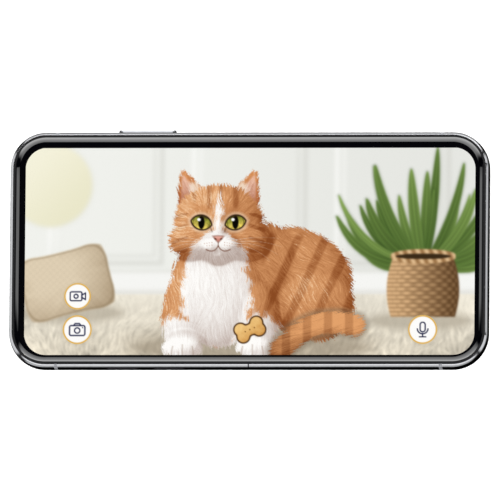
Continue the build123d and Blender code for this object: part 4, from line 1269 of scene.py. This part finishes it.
    def tail(self) -> None:
        """Striped tail that curls round in front of the hind leg."""
        canvas = self.canvas
        points = bowed(self.at(41, -31), self.at(19, -38.5), -0.16, 20)
        distance = canvas.line(points) - self.tail_radius
        share = np.clip((canvas.x - self.x - 19) / 22, 0, 1)
        hair = canvas.streaks(np.full(canvas.x.shape, 0.3), 1.6, 61)
        light = 0.75 + 0.25 * (canvas.y - self.y + 36) / 4
        light = light - 0.25 * (distance + self.tail_radius) / self.tail_radius
        light = np.clip(light + 0.09 * hair, 0, 1)
        stripe = ease(np.sin(share * 22) * 1.5)
        tone = blend("#7a4422", "#e3a26b", np.clip(light - 0.28 * stripe, 0, 1))
        canvas.paint("#7d6f5c", inside(canvas.line(points) - 4.4, 2.4) * 0.5)
        canvas.paint(tone, inside(distance + 0.35 * hair, 0.6))

    def eyes(self) -> None:
        """Amber-green eyes with upright pupils, dark rims and a catch-light."""
        canvas = self.canvas
        for side in (-1, 1):
            centre = self.at(side * self.eye_place[0], self.eye_place[1])
            x, y = canvas.turned(centre, side * 12)
            lid = np.maximum(np.hypot(x, y + 1.1) - 3.1, np.hypot(x, y - 1.25) - 3.25)
            canvas.paint("#f3dcc0", inside(lid - 1.15, 1.3) * 0.55)
            canvas.paint("#2a1a10", inside(lid - 0.42, 0.55))
            glow = ease(0.55 - (y - 0.2) / 4)
            rays = (1 + 0.06 * canvas.noise(0.35, 71))[..., None]
            canvas.paint(blend("#6f7a26", "#d9c25a", glow) * rays, inside(lid, 0.35))
            canvas.paint("#3b3a12", inside(abs(np.hypot(x, y) - 2.5) - 0.15, 0.5) * inside(lid, 0.3) * 0.6)
            canvas.paint("#0a0806", inside(canvas.ellipse(centre, (0.95, 2.0)), 0.4) * inside(lid, 0.35))
            canvas.paint("#2a1a10", inside(lid, 0.4) * ease((y - 0.95) / 0.9) * 0.7)
            glint = (centre[0] - 0.75, centre[1] + 0.85)
            canvas.paint("#ffffff", inside(canvas.ellipse(glint, (0.5, 0.45)), 0.35))
            corner = bowed(self.at(side * 2.5, -0.9), self.at(side * 1.9, -2.6), 0.0, 2)
            canvas.paint("#5a3822", inside(canvas.line(corner) - 0.12, 0.5) * 0.6)

    def nose(self) -> None:
        """Pink nose, mouth and whiskers."""
        canvas = self.canvas
        tip = self.wedge(self.at(-1.75, -3.9), self.at(1.75, -3.9), self.at(0, -5.9), 0.5)
        canvas.paint("#8f5a4c", inside(tip - 0.2, 0.6) * 0.8)
        light = ease((canvas.y - self.y + 5.4) / 1.6)
        canvas.paint(blend("#c98272", "#eeb4a4", light), inside(tip + 0.1, 0.4))
        for side in (-1, 1):
            nostril = canvas.ellipse(self.at(side * 0.85, -4.8), (0.42, 0.26), side * 30)
            canvas.paint("#70402f", inside(nostril, 0.3))
            lips = bowed(self.at(0, -6.9), self.at(side * 3.6, -8.0), side * -0.26, 10)
            canvas.paint("#6b3f2e", inside(canvas.line(lips) - 0.14, 0.4) * 0.8)
            for spot in range(7):
                row, step = divmod(spot, 4)
                place = self.at(side * (1.9 + 0.75 * step), -5.9 - 0.75 * row - 0.1 * step)
                canvas.paint("#a9765c", inside(canvas.ellipse(place, (0.16, 0.16)), 0.3) * 0.6)
            for fall, reach, bow in self.whiskers:
                end = self.at(side * (2.5 + reach), -6.2 + reach * fall)
                hair = bowed(self.at(side * 2.6, -6.0 + 2.0 * fall), end, side * bow)
                share = np.clip(abs(canvas.x - self.x) / (reach + 2.5), 0, 1)
                cover = inside(canvas.line(hair) - 0.04 * (1 - share), 0.32)
                canvas.paint("#fffdf8", cover * (1 - 0.6 * share))
        groove = canvas.line([self.at(0, -5.8), self.at(0, -7.0)])
        canvas.paint("#6b3f2e", inside(groove - 0.12, 0.4) * 0.8)

    def toes(self) -> None:
        """Creases between the toes of the front paws."""
        canvas = self.canvas
        for side in (-1, 1):
            for step in (-1, 0, 1):
                top = self.at(side * 11.0 + step * 2.9 - 0.5 * side, -36.8 - 0.5 * abs(step))
                crease = bowed(top, (top[0] + 0.3 * step, top[1] - 3.6), 0.05 * step)
                canvas.paint("#a38d7c", inside(canvas.line(crease) - 0.1, 0.7) * 0.7)

    def paint(self) -> None:
        """Paint the cat over the room, from its shadow to its whiskers."""
        canvas = self.canvas
        height, angle, outline = self.relief()
        canvas.paint("#8d7f6a", inside(canvas.ellipse(self.at(10, -37.5), (36, 6.0)), 9.0) * 0.55)
        hair = canvas.streaks(angle, 1.7, 12)
        fine = canvas.streaks(angle, 0.9, 13)
        body = (height > -29).astype(float)
        light = self.shade(height, body)
        ginger, stripes = self.coat(hair)
        tuft = 0.075 * hair + 0.035 * fine
        level = np.clip(light * 1.12 - 0.08 + tuft - 0.3 * stripes * ginger, 0, 1)
        warm = blend("#8a4a22", "#f0b27c", level)
        warm = blend(warm, "#fbe0bd", ease((light + 0.8 * tuft - 0.72) / 0.35))
        pale = blend("#a9948a", "#fffdfa", np.clip(light * 1.35 + 0.8 * tuft, 0, 1))
        fringe = inside(outline + 0.3 + 0.38 * hair + 0.15 * fine, 0.5)
        self.ears()
        canvas.paint(pale * (1 - ginger[..., None]) + warm * ginger[..., None], fringe)
        self.tail()
        self.toes()
        self.eyes()
        self.nose()


@dataclass
class Controls:
    """Round buttons over the picture: white discs with amber rings and navy signs, and a biscuit."""

    canvas: Canvas
    ring: float = 0.44
    stroke: float = 0.42
    amber: str = "#deac4a"
    navy: str = "#2d3150"
    video_place: Point = (-51.6, -13.5)
    still_place: Point = (-51.6, -23.6)
    microphone_place: Point = (52.0, -23.6)
    small_radius: float = 4.0
    large_radius: float = 4.35
    biscuit_place: Point = (0.2, -23.6)
    biscuit_turn: float = 24.0

    def button(self, centre: Point, radius: float) -> None:
        """White disc with an amber ring, and a faint shadow below it.

        Args:
            centre: Its middle on the display.
            radius: Its outer radius.
        """
        canvas = self.canvas
        disc = np.hypot(canvas.x - centre[0], canvas.y - centre[1]) - radius
        canvas.paint("#6a6458", inside(disc, 1.4) * 0.25)
        canvas.paint("#fefdfb", inside(disc, 0.3))
        canvas.paint(self.amber, inside(abs(disc + self.ring / 2) - self.ring / 2, 0.3))

    def trace(self, distance: np.ndarray) -> None:
        """Draw a navy line where a distance is zero."""
        self.canvas.paint(self.navy, inside(abs(distance) - self.stroke / 2, 0.22))

    def video_sign(self, centre: Point) -> None:
        """Video camera: box with a lens ring and a viewfinder horn.

        Args:
            centre: Its middle on the display.
        """
        canvas, (x, y) = self.canvas, centre
        self.trace(canvas.box((x - 0.45, y), (1.75, 1.35), 0.45))
        self.trace(np.hypot(canvas.x - x + 0.45, canvas.y - y) - 0.6)
        horn = [(x + 1.3, y + 0.35), (x + 2.4, y + 1.0), (x + 2.4, y - 1.0), (x + 1.3, y - 0.35)]
        self.trace(canvas.line(horn))

    def still_sign(self, centre: Point) -> None:
        """Still camera: body with a raised hump, lens ring and a small light.

        Args:
            centre: Its middle on the display.
        """
        canvas, (x, y) = self.canvas, centre
        hump = [(x - 1.1, y + 1.25), (x - 0.65, y + 1.85), (x + 0.65, y + 1.85), (x + 1.1, y + 1.25)]
        body = canvas.box((x, y - 0.25), (2.3, 1.5), 0.5)
        self.trace(body)
        self.trace(canvas.line(hump))
        self.trace(np.hypot(canvas.x - x, canvas.y - y + 0.25) - 0.8)
        canvas.paint(self.navy, inside(np.hypot(canvas.x - x - 1.6, canvas.y - y - 0.65) - 0.2, 0.2))

    def microphone_sign(self, centre: Point) -> None:
        """Microphone: pill-shaped head in a cradle on a stem and a foot.

        Args:
            centre: Its middle on the display.
        """
        canvas, (x, y) = self.canvas, centre
        self.trace(canvas.box((x, y + 0.75), (0.75, 1.45), 0.75))
        cradle = np.hypot(canvas.x - x, canvas.y - y - 0.3) - 1.6
        self.trace(np.where(canvas.y < y + 0.3, cradle, 9.0))
        self.trace(canvas.line([(x, y - 1.3), (x, y - 2.2)]))
        self.trace(canvas.line([(x - 0.9, y - 2.2), (x + 0.9, y - 2.2)]))

    def biscuit(self, centre: Point) -> None:
        """Bone-shaped biscuit with a baked edge and small docking holes.

        Args:
            centre: Its middle on the display.
        """
        canvas, (x, y) = self.canvas, centre
        bar = canvas.box(centre, (2.6, 1.25), 0.3, self.biscuit_turn)
        along, across = canvas.turned(centre, self.biscuit_turn)
        ends = [np.hypot(along - dx, across - dy) - 1.45 for dx in (-2.6, 2.6) for dy in (-1.15, 1.15)]
        shape = canvas.blur(np.minimum.reduce([bar, *ends]), 0.3)
        canvas.paint("#57391c", inside(shape - 0.75, 0.35))
        crumb = canvas.noise(0.5, 91)
        light = np.clip(0.6 - (canvas.x - x) / 12 + (canvas.y - y) / 9 - shape * 0.12 + 0.05 * crumb, 0, 1)
        canvas.paint(blend("#c98d45", "#f2c983", light), inside(shape - 0.3, 0.35))
        for step in (-1.5, 0.0, 1.5):
            canvas.paint("#8f5f2c", inside(np.hypot(along - step, across) - 0.22, 0.3))

    def paint(self) -> None:
        """Paint all the controls."""
        buttons = (
            (self.video_place, self.small_radius, self.video_sign),
            (self.still_place, self.large_radius, self.still_sign),
            (self.microphone_place, self.large_radius, self.microphone_sign),
        )
        for centre, radius, sign in buttons:
            self.button(centre, radius)
            sign(centre)
        self.biscuit(self.biscuit_place)


# Display --------------------------------------------------------------------------------------------------


@dataclass
class Display:
    """The picture that the display shows, as strips of lit pixels just behind the glass's clear window."""

    housing: Housing
    depth: float = 0.006
    gap: float = 0.002
    strips: int = 3

    def strip(self, canvas: Canvas, number: int) -> bpy.types.Object:
        """One upright strip of lit pixels: a thin closed slab whose front points carry the colours.

        Args:
            canvas: The painted live view.
            number: Which strip, counted from -X.

        Returns:
            The piece.
        """
        cuts = np.linspace(0, canvas.x.shape[1] - 1, self.strips + 1).round().astype(int)
        part = np.s_[:, cuts[number] : cuts[number + 1] + 1]
        lit = self.housing.lit
        x, y = canvas.x[part] + lit.centre_x, canvas.y[part] + lit.centre_y
        rows, columns = x.shape
        low = self.housing.glass_back + self.gap
        high = low + self.depth
        index = np.arange(rows * columns).reshape(rows, columns)
        rim = np.concatenate([index[0], index[1:, -1], index[-1, -2::-1], index[-2:0:-1, 0]])
        front = np.stack([x, y, np.full_like(x, high)], -1).reshape(-1, 3)
        back = front[rim] * [1, 1, 0] + [0, 0, low]
        foot = rows * columns + np.arange(rim.size)
        walls = np.column_stack([rim, foot, np.roll(foot, -1), np.roll(rim, -1)])
        faces = grid_faces(rows, columns, False, False)[:, ::-1].tolist()
        faces += [*walls.tolist(), foot[::-1].tolist()]
        piece = new_object(f"live_view_strip_{number + 1}", np.concatenate([front, back]), faces)
        shade = np.clip(canvas.colour[part].reshape(-1, 3), 0, 1)
        colours = np.ones((len(front) + len(back), 4))
        colours[: len(front), :3], colours[len(front) :, :3] = linearised(shade), 0.0
        layer = piece.data.color_attributes.new("live_view", "FLOAT_COLOR", "POINT")
        layer.data.foreach_set("color", colours.reshape(-1).astype(np.float32))
        dress(piece, lit_pixels("live_view"))
        return piece

    def build(self) -> list[bpy.types.Object]:
        """Paint the picture and build its strips.

        Returns:
            The strips, from -X.
        """
        canvas = Canvas(self.housing.lit.width, self.housing.lit.height)
        for subject in (Room(canvas), Cat(canvas), Controls(canvas)):
            subject.paint()
        pieces = [self.strip(canvas, number) for number in range(self.strips)]
        for piece in pieces:
            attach(piece, PHONE)
        return pieces


# Studio ---------------------------------------------------------------------------------------------------


@dataclass
class Studio:
    """Floor, soft boxes, a surround that is dim overhead, and the camera; in metres and degrees."""

    floor_z: float = -0.00071
    floor_size: float = 14.0
    camera_down: float = 8.0
    camera_across: float = 4.0
    camera_roll: float = -0.05
    lens: float = 1500.0
    sensor: float = 36.0
    clip_end: float = 100.0
    view_width: float = 0.1497
    aim: tuple[float, float, float] = (0.00031, -0.00005, 0.0065)
    box_radius: float = 0.9
    corner_radius: float = 0.011
    # Steps of a soft box's mesh round its bend and along it.
    box_steps: tuple[int, int] = (61, 241)
    box_reach: Point = (-1.3, 1.3)
    box_fade: float = 0.5
    end_reach: Point = (0.0883, 0.1595)
    end_fade: float = 0.0135
    port_flag_reach: Point = (-0.02, 0.27)
    port_flag_fade: float = 0.13
    # Middle and half-length, along the boxes' axis, of the straight edges' reflections.
    edge_middle: float = 0.063
    edge_half: float = 0.061
    floor_colour: str = "#b5b5b5"
    # For X and Y: half the phone's size, and how fast the floor brightens past it each way, lifting its
    # painted shade in mirrors.
    floor_shade_rates: tuple[tuple[float, Point], ...] = ((0.072, (0.12, 1.0)), (0.0357, (0.5, 0.12)))
    floor_lift: float = 0.62
    floor_shade_rise: Point = (0.0005, 0.0435)
    floor_shade_levels: Point = (0.03, 0.9)
    floor_gap: float = 0.002
    sky_rise: Point = (0.3, 0.5)
    sky_levels: Point = (0.97, 0.02)
    sweep_reach: Point = (-0.5, 0.6)
    sweep_levels: Point = (0.15, 1.1)
    soft_level: float = 0.42
    flag_slope: float = 1.15
    flag_edges: Point = (0.1, 0.3)
    flag_level: float = 0.06
    corner_fade: Point = (48.0, 67.0)

    def seen(self, tree: bpy.types.NodeTree, path: bpy.types.Node) -> bpy.types.NodeSocket:
        """1 for rays from the camera or through glass, to which the floor and the surround are white."""
        rays = {0: path.outputs["Is Camera Ray"], 1: path.outputs["Is Transmission Ray"]}
        return add(tree, "Math", rays, operation="MAXIMUM").outputs[0]

    def floor(self) -> None:
        """Pale floor: white to the camera and through glass, and darkened by the phone's shadow."""
        half = self.floor_size / 2
        corners = np.array([[-half, -half], [half, -half], [half, half], [-half, half]]) / MM
        points = np.column_stack([corners, np.full(4, self.floor_z / MM)])
        floor = new_object("floor", points, [[0, 1, 2, 3]])
        material, tree = new_material("matt_white_floor")
        matt = add(tree, "BsdfDiffuse", {"Color": linear(self.floor_colour)})
        path = add(tree, "LightPath")
        seen = self.seen(tree, path)
        # The floor in mirrors glows at a level with painted shade, darker towards the phone and along the
        # diagonals.
        mirrored = add(tree, "Emission", {"Color": (1, 1, 1, 1), "Strength": self.floor_level_with_painted_shade(tree)})
        lift = add(tree, "Emission", {"Color": (1, 1, 1, 1), "Strength": self.floor_lift})
        both = add(tree, "AddShader", {0: matt.outputs[0], 1: lift.outputs[0]})
        direct = add(tree, "MixShader", {0: seen, 1: matt.outputs[0], 2: both.outputs[0]})
        bright = {0: path.outputs["Is Glossy Ray"], 1: direct.outputs[0], 2: mirrored.outputs[0]}
        bright = add(tree, "MixShader", bright)
        # Seen from below, and for light that comes from close by, it isn't there.
        close = add(tree, "Math", {0: path.outputs["Ray Length"], 1: self.floor_gap}, operation="LESS_THAN")
        under = {0: add(tree, "NewGeometry").outputs["Backfacing"], 1: close.outputs[0]}
        under = add(tree, "Math", under, operation="MAXIMUM").outputs[0]
        hole = add(tree, "BsdfTransparent")
        face = add(tree, "MixShader", {0: under, 1: bright.outputs[0], 2: hole.outputs[0]})
        add(tree, "OutputMaterial", {"Surface": face.outputs[0]})
        dress(floor, material)

    def floor_level_with_painted_shade(self, tree: bpy.types.NodeTree) -> bpy.types.NodeSocket:
        """Brightness of the floor in mirrors, with painted shade: it darkens towards the phone, standing in
        for the shade on the ground under an edge, and along the diagonals.

        Args:
            tree: The node tree to add to.

        Returns:
            The level's socket.
        """
        place = add(tree, "SeparateXYZ", {0: add(tree, "TexCoord").outputs["Object"]})
        beyond, past = [], []
        for axis, (half, rates) in enumerate(self.floor_shade_rates):
            sides = [
                {0: place.outputs[axis], 1: way * rate, 2: -half * rate} for way, rate in zip((1, -1), rates)
            ]
            sides = [add(tree, "Math", side, operation="MULTIPLY_ADD").outputs[0] for side in sides]
            sides = [add(tree, "Math", {0: side, 1: 0.0}, operation="MAXIMUM").outputs[0] for side in sides]
            beyond.append(add(tree, "Math", {0: sides[0], 1: sides[1]}, operation="ADD").outputs[0])
            size = add(tree, "Math", {0: place.outputs[axis]}, operation="ABSOLUTE").outputs[0]
            size = add(tree, "Math", {0: size, 1: self.corner_radius - half}, operation="ADD").outputs[0]
            past.append(add(tree, "Math", {0: size, 1: 0.0}, operation="MAXIMUM").outputs[0])
        both_ways = add(tree, "CombineXYZ", {0: beyond[0], 1: beyond[1]})
        distance = add(tree, "VectorMath", {0: both_ways.outputs[0]}, operation="LENGTH").outputs["Value"]
        (start, stop), (dark, bright) = self.floor_shade_rise, self.floor_shade_levels
        # Painted shade: the floor's level in mirrors drops towards the phone, standing in for the shade under
        # its edge.
        near = add(tree, "MapRange", {0: distance, 1: start, 2: stop, 3: dark, 4: bright})
        level = {0: near.outputs[0], 1: self.diagonals(tree, *past)}
        return add(tree, "Math", level, operation="MULTIPLY").outputs[0]

    def diagonals(
        self, tree: bpy.types.NodeTree, x: bpy.types.NodeSocket, y: bpy.types.NodeSocket
    ) -> bpy.types.NodeSocket:
        """Dark flags at the four diagonals: a level that drops where x is about flag_slope times y; on the
        floor it is painted shade that the ring's corners mirror, and in the surround it dims the light.

        Args:
            tree: The node tree to add to.
            x: Size along X.
            y: Size along Y.

        Returns:
            The level's socket.
        """
        off = add(tree, "Math", {0: y, 1: -self.flag_slope, 2: x}, operation="MULTIPLY_ADD").outputs[0]
        off = add(tree, "Math", {0: off}, operation="ABSOLUTE").outputs[0]
        total = add(tree, "Math", {0: x, 1: y}, operation="ADD").outputs[0]
        share = add(tree, "Math", {0: off, 1: total}, operation="DIVIDE").outputs[0]
        level = {0: share, 1: self.flag_edges[0], 2: self.flag_edges[1], 3: self.flag_level, 4: 1.0}
        return add(tree, "MapRange", level, interpolation_type="SMOOTHSTEP").outputs[0]

    def soft_box(
        self, name: str, heading: float, reach: Point, fade: float, profile: tuple[Point, ...],
        edge: tuple[float, float, float] | None = None,
    ) -> None:
        """A soft box bent over the phone: part of a cylinder whose brightness changes from the zenith down.

        On a surface that tilts by half of an angle t towards azimuth a, the mirrored direction meets the
        cylinder of radius r at r * sin(t) * tan(a) past the straight edge's own reflection. An edge makes
        the brightness end at the azimuths of corner_fade, so its reflection tapers round the corners.

        Args:
            name: The object's name.
            heading: Direction from the phone to the box, in degrees from +X.
            reach: Ends of the box along the cylinder's axis.
            fade: Length over which it dims towards each end.
            profile: Pairs of angle from the zenith in degrees and radiance, from its upper edge to its lower.
            edge: Middle and half-length of the straight edge's reflection along the axis, and the angle
                from the zenith at which a level surface mirrors the camera; none leaves the ends square.
        """
        stops, levels = np.array(profile).T
        degrees = np.linspace(stops[0], stops[-1], self.box_steps[0])
        angle = np.radians(degrees)[:, None]
        along = np.linspace(*reach, self.box_steps[1])[None, :]
        out, up = self.box_radius * np.sin(angle), self.box_radius * np.cos(angle)
        towards = np.radians(heading)
        x = out * np.cos(towards) - along * np.sin(towards)
        y = out * np.sin(towards) + along * np.cos(towards)
        points = np.stack([x, y, np.broadcast_to(up, x.shape)], -1).reshape(-1, 3)
        box = new_object(name, points / MM, grid_faces(*x.shape, False, False).tolist())
        glow = box.data.attributes.new("glow", "FLOAT", "POINT")
        ends = ease(np.minimum(along - reach[0], reach[1] - along) / fade)
        level = np.interp(degrees, stops, levels)[:, None] * ends
        if edge:
            middle, half, level_angle = edge
            turn = self.box_radius * np.sin(np.maximum(angle - math.radians(level_angle), 0.001))
            slope = np.maximum(abs(along - middle) - half, 0) / turn
            start, stop = np.tan(np.radians(self.corner_fade))
            level = level * ease((stop - slope) / (stop - start))
        glow.data.foreach_set("value", level.reshape(-1).astype(np.float32))
        material, tree = new_material(f"{name}_diffuser")
        strength = add(tree, "Attribute", attribute_name="glow")
        light = add(tree, "Emission", {"Color": (1, 1, 1, 1), "Strength": strength.outputs["Fac"]})
        add(tree, "OutputMaterial", {"Surface": light.outputs[0]})
        dress(box, material)
        box.visible_camera = False

    def surround(self) -> None:
        """World: white to the camera, bright near the horizon and dim overhead in mirrors, soft as light."""
        world = bpy.data.worlds.new("studio_surround")
        bpy.context.scene.world = world
        world.use_nodes = True
        tree = world.node_tree
        tree.nodes.clear()
        path = add(tree, "LightPath")
        seen = self.seen(tree, path)
        up = add(tree, "SeparateXYZ", {0: add(tree, "TexCoord").outputs["Generated"]})
        (low, high), (pale, dim) = self.sky_rise, self.sky_levels
        fall = {0: up.outputs[2], 1: low, 2: high, 3: pale, 4: dim}
        fall = add(tree, "MapRange", fall, interpolation_type="SMOOTHSTEP")
        sizes = [add(tree, "Math", {0: up.outputs[axis]}, operation="ABSOLUTE").outputs[0] for axis in (0, 1)]
        fall = add(tree, "Math", {0: fall.outputs[0], 1: self.diagonals(tree, *sizes)}, operation="MULTIPLY")
        below = add(tree, "Math", {0: up.outputs[2], 1: 0.0}, operation="LESS_THAN")
        (start, stop), (dark, bright) = self.sweep_reach, self.sweep_levels
        sweep = {0: up.outputs[0], 1: start, 2: stop, 3: dark, 4: bright}
        sweep = add(tree, "MapRange", sweep, interpolation_type="SMOOTHSTEP")
        mirrored = add(tree, "Mix", {0: below.outputs[0], 2: fall.outputs[0], 3: sweep.outputs[0]})
        soft = {0: path.outputs["Is Glossy Ray"], 2: self.soft_level, 3: mirrored.outputs[0]}
        soft = add(tree, "Mix", soft)
        level = add(tree, "Mix", {0: seen, 2: soft.outputs[0], 3: 1.0})
        light = add(tree, "Background", {"Color": (1, 1, 1, 1), "Strength": level.outputs[0]})
        add(tree, "OutputWorld", {"Surface": light.outputs[0]})

    def camera(self) -> None:
        """Camera far above the phone, tipped a little towards its lower rail and its port end."""
        across, down = (math.tan(math.radians(turn)) for turn in (self.camera_across, self.camera_down))
        back = Vector((across, -down, 1.0)).normalized()
        right = (Vector((1, 0, 0)) - back * back.x).normalized()
        right = Matrix.Rotation(math.radians(self.camera_roll), 3, back) @ right
        up = back.cross(right)
        distance = self.view_width * self.lens / self.sensor
        data = bpy.data.cameras.new("camera")
        data.lens, data.sensor_width, data.clip_end = self.lens, self.sensor, self.clip_end
        camera = bpy.data.objects.new("camera", data)
        turn = Matrix((right, up, back)).transposed()
        camera.matrix_world = Matrix.Translation(Vector(self.aim) + back * distance) @ turn.to_4x4()
        bpy.context.scene.collection.objects.link(camera)
        bpy.context.scene.camera = camera

    def build(self) -> None:
        """Set up everything round the phone."""
        self.floor()
        # Angle from the zenith and radiance, from each box's upper edge down.
        key_side = (
            (11.2, 3.5), (19, 4.0), (31, 5.0), (43.5, 7.0), (56, 9.0), (66, 10.0), (67, 10.0),
            (68, 1.3), (82, 1.5), (89, 2.2),
        )
        lower_side = (
            (1.5, 2.6), (11, 3.5), (23, 4.7), (36, 6.6), (45, 10.0), (49, 12.0), (50.5, 1.4),
            (64, 1.4), (66, 0.15), (72.5, 0.15), (74, 1.55), (79, 1.2), (85, 0.55), (89, 0.4),
        )
        for name, side, profile in (("key", 1, key_side), ("lower", -1, lower_side)):
            edge = (side * self.edge_middle, self.edge_half, side * self.camera_down)
            self.soft_box(f"soft_box_{name}_side", side * 90.0, self.box_reach, self.box_fade, profile, edge)
        near, far = self.end_reach
        self.soft_box("soft_box_port_end", 0.0, (near, far), self.end_fade, ((19, 3.0), (46, 3.0)))
        self.soft_box("soft_box_far_end", 180.0, (-far, -near), self.end_fade, ((19, 3.0), (54, 3.0)))
        port_flag = ((47, 0.3), (78, 0.3), (84, 0.9), (89, 0.9))
        self.soft_box("soft_box_port_flag", 0.0, self.port_flag_reach, self.port_flag_fade, port_flag)
        self.surround()
        self.camera()
        scene = bpy.context.scene
        scene.view_settings.view_transform = "Standard"


# Assembly -------------------------------------------------------------------------------------------------


def dress_solids() -> None:
    """Give every solid its finish, but for the cover glass, which is drawn anew."""
    for name, finish in NODE_FINISHES.items():
        dress(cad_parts[name], finish.material())
        log.info("dressed %s in %s", name, finish.name)


def main() -> None:
    """Build the skins, the display and the studio."""
    Studio().build()
    dress_solids()
    housing = Housing()
    for part in (housing, SideKey(), Display(housing)):
        for piece in part.build():
            log.info("built %s with %d faces", piece.name, len(piece.data.polygons))
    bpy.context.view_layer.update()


if __name__ == "__main__":
    logging.basicConfig(level=logging.INFO, format="%(message)s")
    main()
